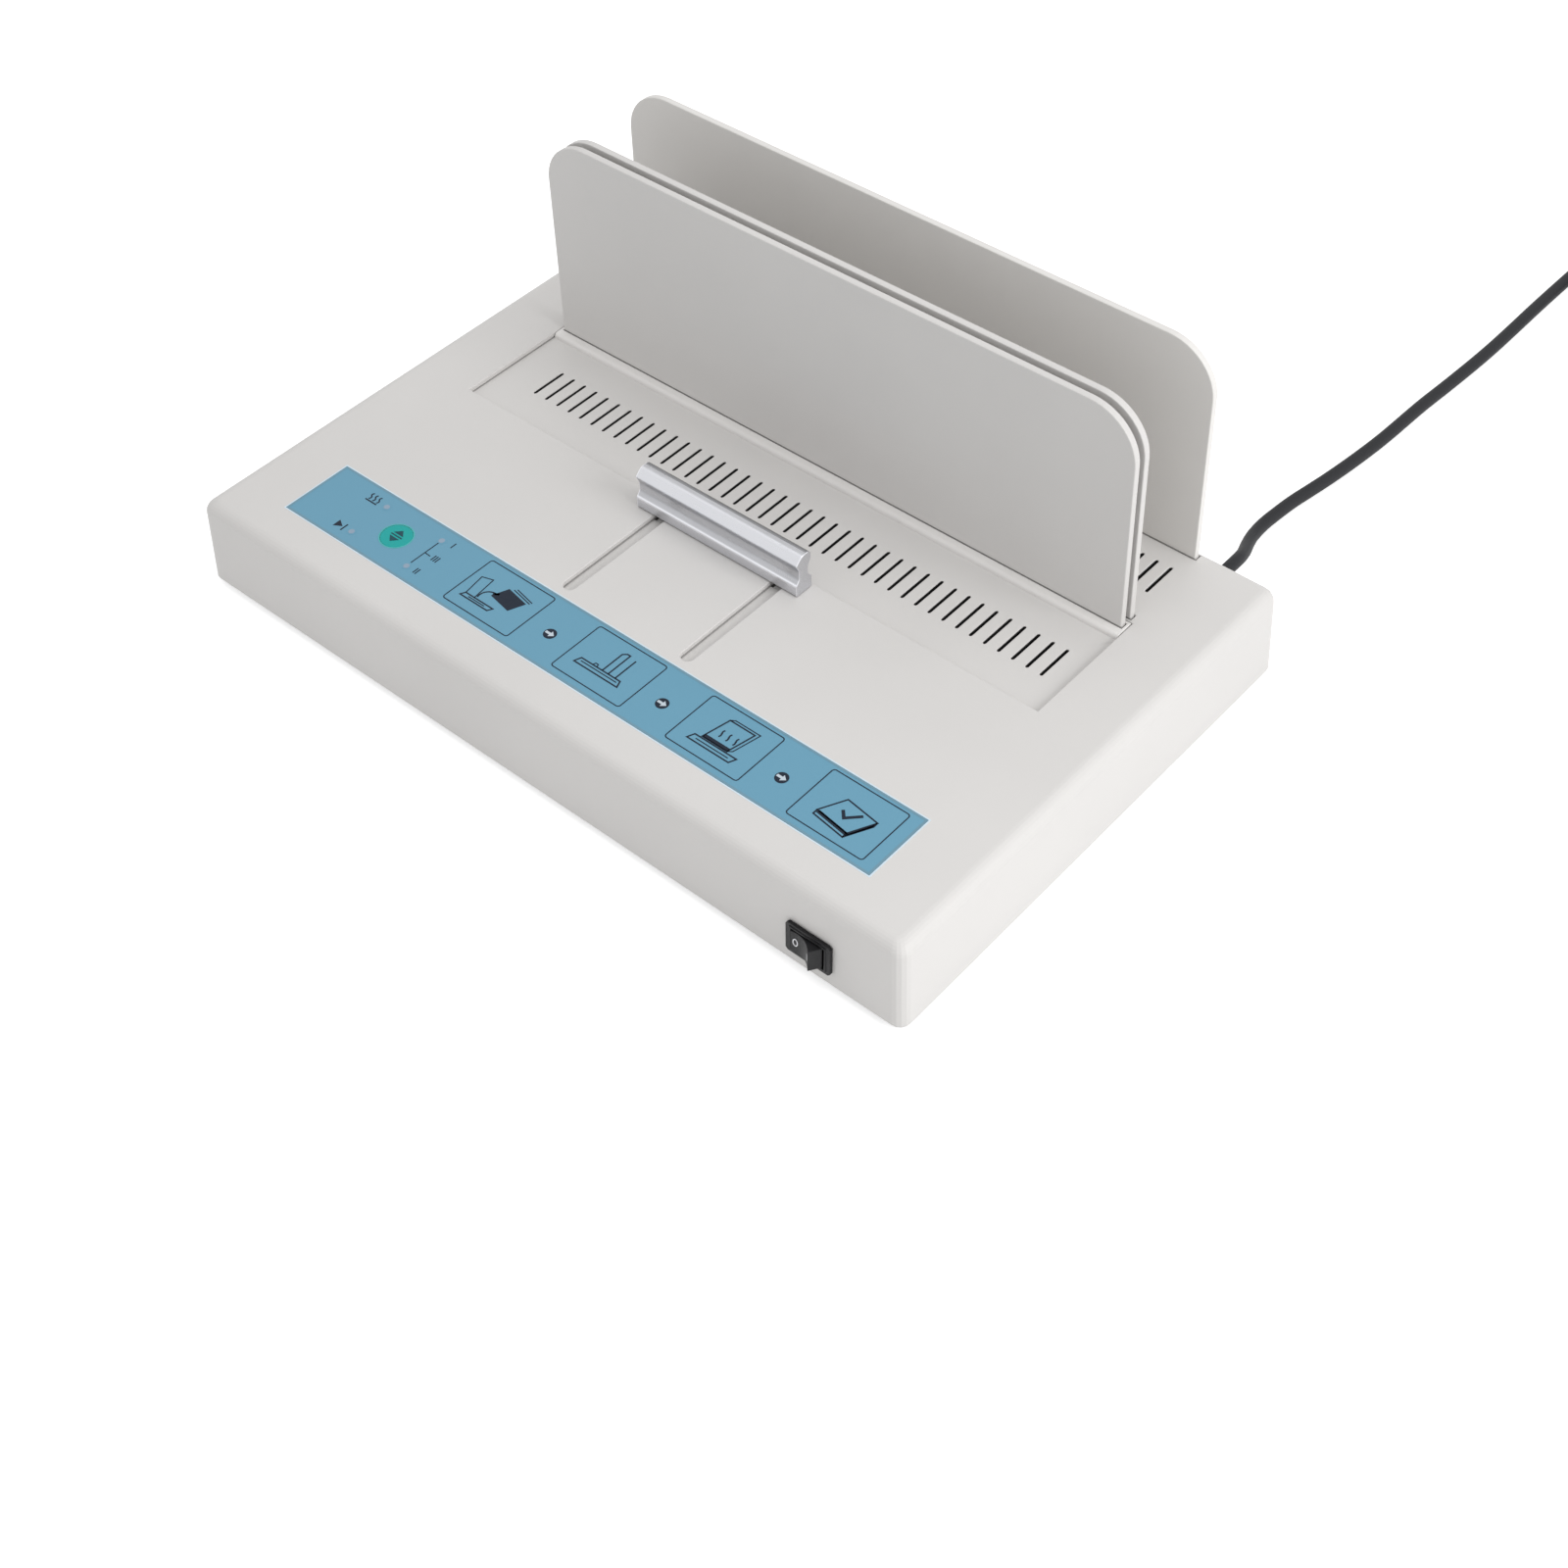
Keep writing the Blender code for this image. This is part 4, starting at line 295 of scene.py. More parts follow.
def make_finish(name, colour, roughness, metallic=0.0, drift=0.03, drift_scale=7.0, grain_scale=2200.0,
                grain_height=0.000012, gloss_spread=0.05, stretch=(1, 1, 1)):
    """A Principled material whose colour drifts a little, with a fine grain in its gloss and surface."""
    material = bpy.data.materials.new(name)
    material.use_nodes = True
    tree = material.node_tree
    shader = tree.nodes["Principled BSDF"]
    shader.inputs["Metallic"].default_value = metallic
    place = add_node(tree, "ShaderNodeTexCoord")
    scaled = add_node(tree, "ShaderNodeMapping", {"Scale": stretch})
    tree.links.new(place.outputs["Object"], scaled.inputs["Vector"])
    cloud = add_node(tree, "ShaderNodeTexNoise", {"Scale": drift_scale, "Detail": 3.0, "Roughness": 0.55})
    tree.links.new(place.outputs["Object"], cloud.inputs["Vector"])
    shades = add_node(tree, "ShaderNodeValToRGB")
    for stop, share in zip(shades.color_ramp.elements, (1 - drift, 1 + drift)):
        stop.color = (*[min(channel * share, 1) for channel in colour[:3]], 1)
    shades.color_ramp.elements[0].position = NOISE_LOW
    shades.color_ramp.elements[1].position = NOISE_HIGH
    tree.links.new(cloud.outputs["Fac"], shades.inputs["Fac"])
    tree.links.new(shades.outputs["Color"], shader.inputs["Base Color"])
    grain = add_node(tree, "ShaderNodeTexNoise", {"Scale": grain_scale, "Detail": 2.0, "Roughness": 0.6})
    tree.links.new(scaled.outputs["Vector"], grain.inputs["Vector"])
    gloss = add_node(tree, "ShaderNodeMapRange", {"From Min": NOISE_LOW, "From Max": NOISE_HIGH,
                                                  "To Min": max(roughness - gloss_spread, LEAST_ROUGHNESS),
                                                  "To Max": min(roughness + gloss_spread, 1)})
    tree.links.new(grain.outputs["Fac"], gloss.inputs["Value"])
    tree.links.new(gloss.outputs["Result"], shader.inputs["Roughness"])
    bump = add_node(tree, "ShaderNodeBump", {"Strength": 1.0, "Distance": grain_height})
    tree.links.new(grain.outputs["Fac"], bump.inputs["Height"])
    tree.links.new(bump.outputs["Normal"], shader.inputs["Normal"])
    material.diffuse_color = colour
    return material


def scale_colour(tree, level):
    """Multiplies the colour of a material by a value."""
    target = tree.nodes["Principled BSDF"].inputs["Base Color"]
    scaled = add_node(tree, "ShaderNodeVectorMath", operation="SCALE")
    tree.links.new(target.links[0].from_socket, scaled.inputs[0])
    tree.links.new(level.outputs["Result"], scaled.inputs["Scale"])
    tree.links.new(scaled.outputs[0], target)


def shade_inside(material, low, high, share):
    """Scales a material's colour inside a box, where the real piece catches less light or more."""
    tree = material.node_tree
    place = add_node(tree, "ShaderNodeTexCoord")
    inside = add_node(tree, "ShaderNodeMapping", {"Location": (low + high) / 2, "Scale": (high - low) / 2},
                      vector_type="TEXTURE")
    tree.links.new(place.outputs["Object"], inside.inputs["Vector"])
    away = add_node(tree, "ShaderNodeVectorMath", operation="ABSOLUTE")
    tree.links.new(inside.outputs[0], away.inputs[0])
    axes = add_node(tree, "ShaderNodeSeparateXYZ")
    tree.links.new(away.outputs[0], axes.inputs[0])
    hit = add_node(tree, "ShaderNodeMath", {1: 1.0}, operation="LESS_THAN")
    most = larger(tree, larger(tree, axes.outputs[0], axes.outputs[1]), axes.outputs[2])
    tree.links.new(most, hit.inputs[0])
    level = add_node(tree, "ShaderNodeMapRange", {"To Min": 1.0, "To Max": share})
    tree.links.new(hit.outputs[0], level.inputs["Value"])
    scale_colour(tree, level)


def shade_by_height(material, low, high, levels):
    """Shades a material by height inside a stretch along X: levels are pairs of height and share."""
    tree = material.node_tree
    place = add_node(tree, "ShaderNodeTexCoord")
    axes = add_node(tree, "ShaderNodeSeparateXYZ")
    tree.links.new(place.outputs["Object"], axes.inputs[0])
    rise = add_node(tree, "ShaderNodeMapRange", {"From Min": low.z, "From Max": high.z})
    tree.links.new(axes.outputs[2], rise.inputs["Value"])
    ramp = add_node(tree, "ShaderNodeValToRGB")
    stops = ramp.color_ramp.elements
    while len(stops) < len(levels):
        stops.new(1.0)
    for stop, (height, share) in zip(stops, levels):
        stop.position = height / (high.z - low.z)
        stop.color = (share, share, share, 1)
    tree.links.new(rise.outputs["Result"], ramp.inputs["Fac"])
    reach = add_node(tree, "ShaderNodeMath", operation="ABSOLUTE")
    tree.links.new(axes.outputs[0], reach.inputs[0])
    inside = add_node(tree, "ShaderNodeMath", {1: high.x}, operation="LESS_THAN")
    tree.links.new(reach.outputs[0], inside.inputs[0])
    level = add_node(tree, "ShaderNodeMapRange", {"To Min": 1.0})
    tree.links.new(inside.outputs[0], level.inputs["Value"])
    tree.links.new(ramp.outputs["Color"], level.inputs["To Max"])
    scale_colour(tree, level)


def shade_cover(plastic):
    """Shade in the cover's slits, between the middle plate and the rear one."""
    low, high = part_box("top_cover")
    _, plate_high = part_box("middle_plate")
    rear_low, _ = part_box("rear_plate")
    shade_inside(plastic, Vector((-plate_high.x, plate_high.y + SLIT_EDGE, low.z)),
                 Vector((plate_high.x, rear_low.y - SLIT_EDGE, high.z - SLIT_EDGE)), SLIT_SHARE)


def shade_carriage(plastic):
    """Shade in the carriage's slits, along the walls over it and by the handle, and light on its band."""
    low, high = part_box("carriage")
    _, plate_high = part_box("middle_plate")
    handle_low, handle_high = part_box("handle_bar")
    groove = middle("handle_spacer_right").x
    floor = high.z - CARRIAGE_DROP
    shade_inside(plastic, low - Vector((SLIT_EDGE, SLIT_EDGE, SLIT_EDGE)),
                 Vector((high.x, high.y, floor - SLIT_EDGE)), SLIT_SHARE)
    shade_inside(plastic, Vector((low.x, low.y, floor + BAND_FOOT)),
                 high + Vector((BAND_FOOT, BAND_FOOT, BAND_FOOT)), BAND_SHARE)
    for wall, rear in ((plate_high.x + OPENING_PAST_PLATE, high.y),
                       (groove - GROOVE_HALF_WIDTH, handle_high.y),
                       (groove + GROOVE_HALF_WIDTH, handle_high.y)):
        for side in (-1, 1):
            shade_inside(plastic, Vector((side * wall - WALL_LINE, low.y, floor - SLIT_EDGE)),
                         Vector((side * wall + WALL_LINE, rear, high.z - WALL_LINE)), WALL_SHARE)
    for side in (-1, 1):
        left = side * groove - GROOVE_HALF_WIDTH
        shade_inside(plastic, Vector((left, handle_low.y + NOTCH_SETBACK, floor - SLIT_EDGE)),
                     Vector((left + NOTCH_WIDTH, handle_high.y, high.z)), NOTCH_SHARE)


def shade_plate(plastic):
    """Shade in the thin gap at the foot of the plates."""
    _, plate_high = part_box("middle_plate")
    _, carriage_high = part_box("carriage")
    _, cover_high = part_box("top_cover")
    shade_inside(plastic, Vector((-plate_high.x, 0, carriage_high.z - FOOT_LINE)),
                 Vector((plate_high.x, cover_high.y, cover_high.z + FOOT_LINE)), FOOT_SHARE)


def shade_handle(metal):
    """Shade on the handle by height, on its ends and along its rear top edge."""
    low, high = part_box("handle_bar")
    shade_by_height(metal, low, high - Vector((HANDLE_RIM, 0, 0)), HANDLE_LEVELS)
    for end in (low.x, high.x):
        shade_inside(metal, Vector((end - HANDLE_END, low.y, low.z)),
                     Vector((end + HANDLE_END, high.y, high.z)), HANDLE_END_SHARE)
    shade_inside(metal, Vector((low.x + HANDLE_RIM, high.y - HANDLE_BACK_DEPTH,
                                high.z - HANDLE_BACK_DROP)),
                 Vector((high.x - HANDLE_RIM, high.y, high.z + WALL_LINE)), HANDLE_BACK_SHARE)


def dress(node, material, bevel):
    """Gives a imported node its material, softened edges and smooth shading."""
    piece = NODES[node]
    piece.data.materials.clear()
    piece.data.materials.append(material)
    if "custom_normal" in piece.data.attributes:
        piece.data.attributes.remove(piece.data.attributes["custom_normal"])
    weld = piece.modifiers.new("weld", "WELD")
    weld.merge_threshold = WELD_GAP
    if bevel:
        edge = piece.modifiers.new("edge", "BEVEL")
        edge.width = bevel
        edge.segments = EDGE_STEPS
        edge.limit_method = "ANGLE"
        edge.angle_limit = EDGE_ANGLE
        edge.use_clamp_overlap = False
        edge.loop_slide = node not in EVEN_BEVELS
    smooth = piece.modifiers.new("normals", "WEIGHTED_NORMAL")
    smooth.weight = FACE_WEIGHT
    smooth.keep_sharp = True


def link_mesh(name, build, material, body, location=(0, 0, 0)):
    """Turns a bmesh into a piece that rides on a body."""
    bmesh.ops.recalc_face_normals(build, faces=build.faces)
    mesh = bpy.data.meshes.new(name)
    build.to_mesh(mesh)
    build.free()
    mesh.materials.append(material)
    piece = bpy.data.objects.new(name, mesh)
    piece.location = location
    bpy.context.scene.collection.objects.link(piece)
    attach(piece, body)
    return piece


def smooth_route(knots, step):
    """Points about a step apart on a smooth curve through the knots."""
    padded = [2 * knots[0] - knots[1]] + knots + [2 * knots[-1] - knots[-2]]
    points = [knots[0]]
    for a, b, c, d in zip(padded, padded[1:], padded[2:], padded[3:]):
        pieces = max(1, round((c - b).length / step))
        for i in range(1, pieces + 1):
            t = i / pieces
            points.append(0.5 * (2 * b + (c - a) * t + (2 * a - 5 * b + 4 * c - d) * t * t
                                 + (3 * b - a - 3 * c + d) * t * t * t))
    return points


def coil_points(centre):
    """The lead wound in two layers: in along the floor, up a layer, and out again on top."""
    sweep = COIL_TURNS_A_LAYER * math.tau
    steps = round(2 * COIL_TURNS_A_LAYER * COIL_LOOP_POINTS)
    low = LEAD_DIAMETER / 2 + LEAD_LIFT
    points = []
    for i in range(steps + 1):
        turn = -sweep + 2 * sweep * i / steps
        radius = COIL_INNER_RADIUS + COIL_PITCH * abs(turn) / math.tau
        rise = min(max(turn / math.pi + 0.5, 0), 1)
        rise = rise * rise * (3 - 2 * rise)
        angle = math.pi - (turn + sweep)
        points.append(Vector((centre.x + radius * math.cos(angle), centre.y + radius * math.sin(angle),
                              low + COIL_PITCH * rise)))
    return points


def make_tie(centre, material):
    """A thin strap round the turns of the coil."""
    corner = LEAD_DIAMETER / 2
    inner = COIL_INNER_RADIUS - corner - 2 * TIE_THICKNESS
    outer = COIL_OUTER_RADIUS + corner + 2 * TIE_THICKNESS
    top = LEAD_LIFT + LEAD_DIAMETER + COIL_PITCH
    turn = Matrix.Translation(centre) @ Matrix.Rotation(TIE_ANGLE, 4, "Z")
    build = bmesh.new()
    rows = []
    for grow in (0, TIE_THICKNESS):
        for side in (-1, 1):
            row = []
            for x, z, start in ((outer - corner, corner, -90), (outer - corner, top - corner, 0),
                                (inner + corner, top - corner, 90), (inner + corner, corner, 180)):
                for i in range(TIE_CORNER_STEPS + 1):
                    angle = math.radians(start + 90 * i / TIE_CORNER_STEPS)
                    reach = corner + grow
                    spot = Vector((x + reach * math.cos(angle), side * TIE_WIDTH / 2,
                                   max(z + reach * math.sin(angle), grow)))
                    row.append(build.verts.new(turn @ spot))
            rows.append(row)
    count = len(rows[0])
    for a, b in ((0, 1), (1, 3), (3, 2), (2, 0)):
        for i in range(count):
            j = (i + 1) % count
            build.faces.new((rows[a][i], rows[a][j], rows[b][j], rows[b][i]))
    return link_mesh("lead_tie", build, material, "housing")


def make_lead(material, tie_material):
    """The lead as one tube from the strain relief to the plug, with its coil and tie."""
    lean = Vector((0, math.cos(RELIEF_LEAN), math.sin(RELIEF_LEAN)))
    cord_low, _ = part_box("power_cord")
    _, plug_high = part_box("plug_body")
    relief = middle("strain_relief")
    reach = cord_low.y - relief.y
    tip = Vector((relief.x, cord_low.y, relief.z + reach * math.tan(RELIEF_LEAN)))
    knots = [tip, tip + lean * LEAD_DIAMETER]
    knots += [Vector((tip.x + x, tip.y + y, z)) for x, y, z in LEAD_ROUTE]
    route = smooth_route(knots, LEAD_STEP)
    end = route[-1]
    centre = Vector((end.x + COIL_OUTER_RADIUS, end.y + LEAD_GAP + LEAD_DIAMETER, 0))
    wound = coil_points(centre)
    entry = Vector((wound[-1].x, plug_high.y + LEAD_GAP, wound[-1].z))
    points = route + wound + [entry]
    curve = bpy.data.curves.new("mains_lead", "CURVE")
    curve.dimensions = "3D"
    curve.bevel_depth = LEAD_DIAMETER / 2
    curve.bevel_resolution = LEAD_SIDE_STEPS
    curve.use_fill_caps = True
    spline = curve.splines.new("POLY")
    spline.points.add(len(points) - 1)
    for point, place in zip(spline.points, points):
        point.co = (*place, 1)
    curve.materials.append(material)
    lead = bpy.data.objects.new("mains_lead", curve)
    bpy.context.scene.collection.objects.link(lead)
    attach(lead, "housing")
    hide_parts("power_cord", "cord_coil")
    tie = make_tie(centre, tie_material)


def circle(x, y, radius, count=32):
    """Points of a circle."""
    turns = [math.tau * i / count for i in range(count)]
    return [(x + radius * math.cos(turn), y + radius * math.sin(turn)) for turn in turns]


def arc(x, y, radius, start, end, steps=10):
    """Points of an arc between two angles in degrees."""
    turns = [math.radians(start + (end - start) * i / steps) for i in range(steps + 1)]
    return [(x + radius * math.cos(turn), y + radius * math.sin(turn)) for turn in turns]


def round_box(x, y, width, depth, radius):
    """Points of a rectangle with round corners."""
    points = []
    for start, side, front in ((0, 1, 1), (90, -1, 1), (180, -1, -1), (270, 1, -1)):
        points += arc(x + side * (width / 2 - radius), y + front * (depth / 2 - radius), radius,
                      start, start + 90, 5)
    return points


def add_ribbon(build, points, width, closed=False, low=PRINT_LOW, high=PRINT_HIGH):
    """A flat line of even width along points."""
    points = [Vector(point) for point in points]
    count = len(points)
    rows = []
    for i, here in enumerate(points):
        ways = []
        if closed or i:
            ways.append((here - points[i - 1]).normalized())
        if closed or i < count - 1:
            ways.append((points[(i + 1) % count] - here).normalized())
        way = (ways[0] + ways[-1]).normalized()
        across = Vector((-way.y, way.x)) * width / 2 / max(way.dot(ways[0]), LEAST_MITRE)
        rows.append([build.verts.new((*(here + across * side), height))
                     for side, height in ((-1, low), (1, low), (1, high), (-1, high))])
    for i in range(count if closed else count - 1):
        a, b = rows[i], rows[(i + 1) % count]
        for j in range(4):
            k = (j + 1) % 4
            build.faces.new((a[j], a[k], b[k], b[j]))
    if not closed:
        build.faces.new(rows[0])
        build.faces.new(tuple(reversed(rows[-1])))


def add_patch(build, outline, low=PRINT_LOW, high=PRINT_HIGH):
    """A flat filled shape."""
    bottom = [build.verts.new((x, y, low)) for x, y in outline]
    top = [build.verts.new((x, y, high)) for x, y in outline]
    build.faces.new(bottom)
    build.faces.new(top)
    for i in range(len(outline)):
        j = (i + 1) % len(outline)
        build.faces.new((bottom[i], bottom[j], top[j], top[i]))


def placed(points, x, y):
    """Points of a drawing in millimetres, moved to their place on the film."""
    return [(x + a * MILLIMETRE, y + b * MILLIMETRE) for a, b in points]


def draw_cover_icon(build, x, y):
    """A dark page block on its way into an open cover."""
    add_patch(build, placed([(-3.6, -1.2), (8.2, -3.4), (11.4, 4.2), (-0.4, 6.4)], x, y))
    for lift in (1.0, 2.0):
        page = [(0.6 + lift, 6.2 + lift), (12.0 + lift / 2, 4.1 + lift)]
        add_ribbon(build, placed(page, x, y), FINE_LINE)
    tray = [(-14.2, -8.6), (1.6, -8.6), (2.8, -6.4), (-13.0, -6.4)]
    add_ribbon(build, placed(tray, x, y), BOLD_LINE, True)
    add_ribbon(build, placed([(-10.4, -7.5), (-1.2, -7.5)], x, y), FINE_LINE)
    add_ribbon(build, placed([(-13.0, -6.4), (-14.6, 4.4), (-9.4, 6.0), (-8.0, -6.4)], x, y), FINE_LINE)
    add_ribbon(build, placed(arc(-3.0, -3.8, 4.6, 200, 75), x, y), BOLD_LINE)
    add_patch(build, placed([(-3.4, -0.6), (-1.0, 0.8), (-1.4, 2.0), (-4.0, 0.6)], x, y))


def draw_profile_icon(build, x, y):
    """The machine from its side, with a booklet between its plates."""
    housing = [(-13.0, -6.8), (10.6, -6.8), (9.4, -3.6), (-11.8, -3.6)]
    plates = [(-0.4, -3.6), (-0.4, 8.0), (1.2, 9.4), (2.8, 9.4), (2.8, -3.6)]
    add_ribbon(build, placed(housing, x, y), BOLD_LINE, True)
    add_ribbon(build, placed([(-10.8, -5.0), (8.6, -5.0)], x, y), FINE_LINE)
    add_ribbon(build, placed([(-5.6, -3.6), (-5.2, -2.2), (-3.8, -2.2), (-3.4, -3.6)], x, y), FINE_LINE)
    add_ribbon(build, placed(plates, x, y), BOLD_LINE)
    add_ribbon(build, placed([(6.6, -3.6), (6.6, 8.6)], x, y), BOLD_LINE)


def draw_heat_icon(build, x, y):
    """A booklet that stands in the machine, with heat rising to its spine."""
    machine = [(-11.6, -9.0), (9.8, -9.0), (11.2, -5.8), (-10.2, -5.8)]
    cover = [(-7.2, -5.0), (5.6, -5.0), (8.4, 8.2), (-4.4, 8.2)]
    pages = [(5.6, -5.0), (7.4, -3.6), (10.2, 9.4), (-2.6, 9.4), (-4.4, 8.2)]
    add_ribbon(build, placed(machine, x, y), BOLD_LINE, True)
    add_ribbon(build, placed([(-8.4, -7.4), (8.2, -7.4)], x, y), FINE_LINE)
    add_ribbon(build, placed(cover, x, y), BOLD_LINE, True)
    add_ribbon(build, placed(pages, x, y), FINE_LINE)
    add_patch(build, placed([(-7.2, -5.0), (5.6, -5.0), (6.0, -3.2), (-6.8, -3.2)], x, y))
    for step in (-2.6, 1.0, 4.6):
        wave = arc(step - 0.8, -0.2, 1.5, -40, 40, 4) + arc(step + 1.6, 1.9, 1.5, 220, 140, 4)
        add_ribbon(build, placed(wave, x, y), BOLD_LINE)


def draw_booklet_icon(build, x, y):
    """The finished booklet lying down, with its taped spine towards the front."""
    cover = [(-10.2, -5.6), (5.8, -7.8), (11.6, 3.4), (-4.4, 5.6)]
    spine = [(-10.2, -5.6), (-10.2, -8.0), (5.8, -10.2), (5.8, -7.8)]
    add_ribbon(build, placed(cover, x, y), BOLD_LINE, True)
    add_ribbon(build, placed(spine, x, y), BOLD_LINE)
    add_ribbon(build, placed([(5.8, -10.2), (11.6, 1.0), (11.6, 3.4)], x, y), BOLD_LINE)
    add_patch(build, placed([(-10.0, -6.8), (5.6, -9.0), (6.4, -7.4), (-9.2, -5.2)], x, y))
    for step in (0.6, 1.2, 1.8):
        add_ribbon(build, placed([(6.2, -8.2 - step / 2), (11.4, 2.8 - step)], x, y), FINE_LINE)
    add_ribbon(build, placed([(-2.6, 0.4), (0.2, -2.6), (5.4, 2.6)], x, y), 2 * BOLD_LINE)


def draw_signs(build):
    """The signs by the lamps: heat, run, and the numerals of the heat levels with their line."""
    x, y = HEAT_PLACE
    for step in (-2.4, 0, 2.4):
        wave = arc(step - 0.55, -0.8, 1.1, -60, 60, 4) + arc(step + 0.55, 1.1, 1.1, 240, 120, 4)
        add_ribbon(build, placed(wave, x, y), BOLD_LINE)
    add_ribbon(build, placed([(-3.4, -2.6), (3.4, -2.6)], x, y), BOLD_LINE)
    x, y = RUN_PLACE
    add_patch(build, placed([(-1.6, -2.2), (2.2, 0), (-1.6, 2.2)], x, y))
    add_ribbon(build, placed([(3.2, -2.2), (3.2, 2.2)], x, y), BOLD_LINE)
    for count, x, y in NUMERAL_PLACES:
        for i in range(count):
            step = (i - (count - 1) / 2) * NUMERAL_PITCH
            stroke = [(x + step, y + side * NUMERAL_HEIGHT / 2) for side in (-1, 1)]
            add_ribbon(build, stroke, NUMERAL_LINE)
    for line in (LEVEL_LINE, LEVEL_BRANCH):
        add_ribbon(build, line, FINE_LINE)


def make_print(ink, light, film, lens):
    """All that is printed on the control film, and the pale windows over its lamps."""
    label_low, label_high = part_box("control_label")
    centre = (label_low + label_high) / 2
    centre.z = label_high.z
    build = bmesh.new()
    for x, y in FRAME_PLACES:
        add_ribbon(build, round_box(x, y, *FRAME_SIZE, FRAME_CORNER), FINE_LINE, True)
    for draw, (x, y) in zip((draw_cover_icon, draw_profile_icon, draw_heat_icon, draw_booklet_icon),
                            FRAME_PLACES):
        draw(build, x, y)
    for x, y in DISC_PLACES:
        add_patch(build, circle(x, y, DISC_RADIUS))
    draw_signs(build)
    link_mesh("label_print", build, ink, "housing", centre)
    build = bmesh.new()
    for x, y in DISC_PLACES:
        arrow = [(-2.4, -0.6), (0.1, -0.6), (0.1, -1.7), (2.2, 0), (0.1, 1.7), (0.1, 0.6), (-2.4, 0.6)]
        add_patch(build, placed(arrow, x, y), PRINT_HIGH, 2 * PRINT_HIGH)
    link_mesh("label_arrows", build, light, "housing", centre)
    build = bmesh.new()
    spots = [middle(lamp) - centre for lamp in LAMP_NODES]
    for spot in spots:
        add_patch(build, circle(spot.x, spot.y, WINDOW_COVER_RADIUS))
    link_mesh("lamp_surrounds", build, film, "housing", centre)
    build = bmesh.new()
    for spot in spots:
        add_patch(build, circle(spot.x, spot.y, WINDOW_RADIUS), PRINT_HIGH, 2 * PRINT_HIGH)
    link_mesh("lamp_windows", build, lens, "housing", centre)


def make_label_rim(rim_material, edge_shade_material):
    """A pale strip round the control film in the cover's recess, and painted shade along the film's edge
    inside it.
    """
    low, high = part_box("control_label")
    centre = (low + high) / 2
    centre.z = high.z
    for name, out, width, heights, material, slot in (
            ("label_rim", RIM_OFFSET, RIM_WIDTH, (-3 * RIM_DEPTH, 0), rim_material, "cover_plastic"),
            ("label_edge_shade", -EDGE_SHADE_INSET, EDGE_SHADE_WIDTH, (PRINT_LOW, PRINT_HIGH), edge_shade_material, "label_film")):
        half_x = (high.x - low.x) / 2 + out
        half_y = (high.y - low.y) / 2 + out
        back = half_y + BACK_REACH
        corners = [(half_x, back), (-half_x, back), (-half_x, -half_y), (half_x, -half_y)]
        build = bmesh.new()
        add_ribbon(build, corners, width, True, *heights)
        link_mesh(name, build, material, "housing", centre)


def make_key_marks(ring_material, mark_material):
    """A pale ring round the key, and a pair of arrowheads for its two ways of choosing."""
    low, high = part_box("select_button")
    _, label_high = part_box("control_label")
    centre = (low + high) / 2
    build = bmesh.new()
    add_ribbon(build, circle(0, 0, KEY_RING_RADIUS, KEY_RING_POINTS), KEY_RING_WIDTH, True)
    link_mesh("key_ring", build, ring_material, "housing", (centre.x, centre.y, label_high.z))
    build = bmesh.new()
    for side in (-1, 1):
        add_patch(build, placed([(-2.8, side * 1.1), (2.8, side * 1.1), (0, side * 4.0)], 0, 0))
    add_ribbon(build, placed([(-3.2, 0), (3.2, 0)], 0, 0), BOLD_LINE)
    link_mesh("key_mark", build, mark_material, "select_key", (centre.x, centre.y, high.z))


def add_draped_ribbon(build, node, points, width, closed=False):
    """A thin line laid on the front of a node, along points in the front view."""
    surface = BVHTree.FromPolygons([vertex.co for vertex in NODES[node].data.vertices],
                                   [face.vertices for face in NODES[node].data.polygons])
    flat = bmesh.new()
    add_ribbon(flat, points, width, closed, -MARK_LIFT, MARK_LIFT)
    centre = middle(node)
    matched = {}
    for vertex in flat.verts:
        start = Vector((centre.x + vertex.co.x, CAD_BOX[0][1], centre.z + vertex.co.y))
        spot, _, _, _ = surface.ray_cast(start, Vector((0, 1, 0)))
        spot.y -= vertex.co.z
        matched[vertex] = build.verts.new(spot)
    for face in flat.faces:
        build.faces.new([matched[vertex] for vertex in face.verts])
    flat.free()


def make_rocker_marks(material):
    """The O and the line on the mains rocker."""
    build = bmesh.new()
    x, y, across, upright = OFF_MARK
    turns = [math.tau * i / OFF_POINTS for i in range(OFF_POINTS)]
    ring = [(x + across * math.cos(turn), y + upright * math.sin(turn)) for turn in turns]
    add_draped_ribbon(build, "rocker", ring, OFF_LINE, True)
    x, y, across, upright = ON_MARK
    add_draped_ribbon(build, "rocker", [(x, y - upright), (x, y + upright)], across)
    link_mesh("rocker_marks", build, material, "switch_rocker")


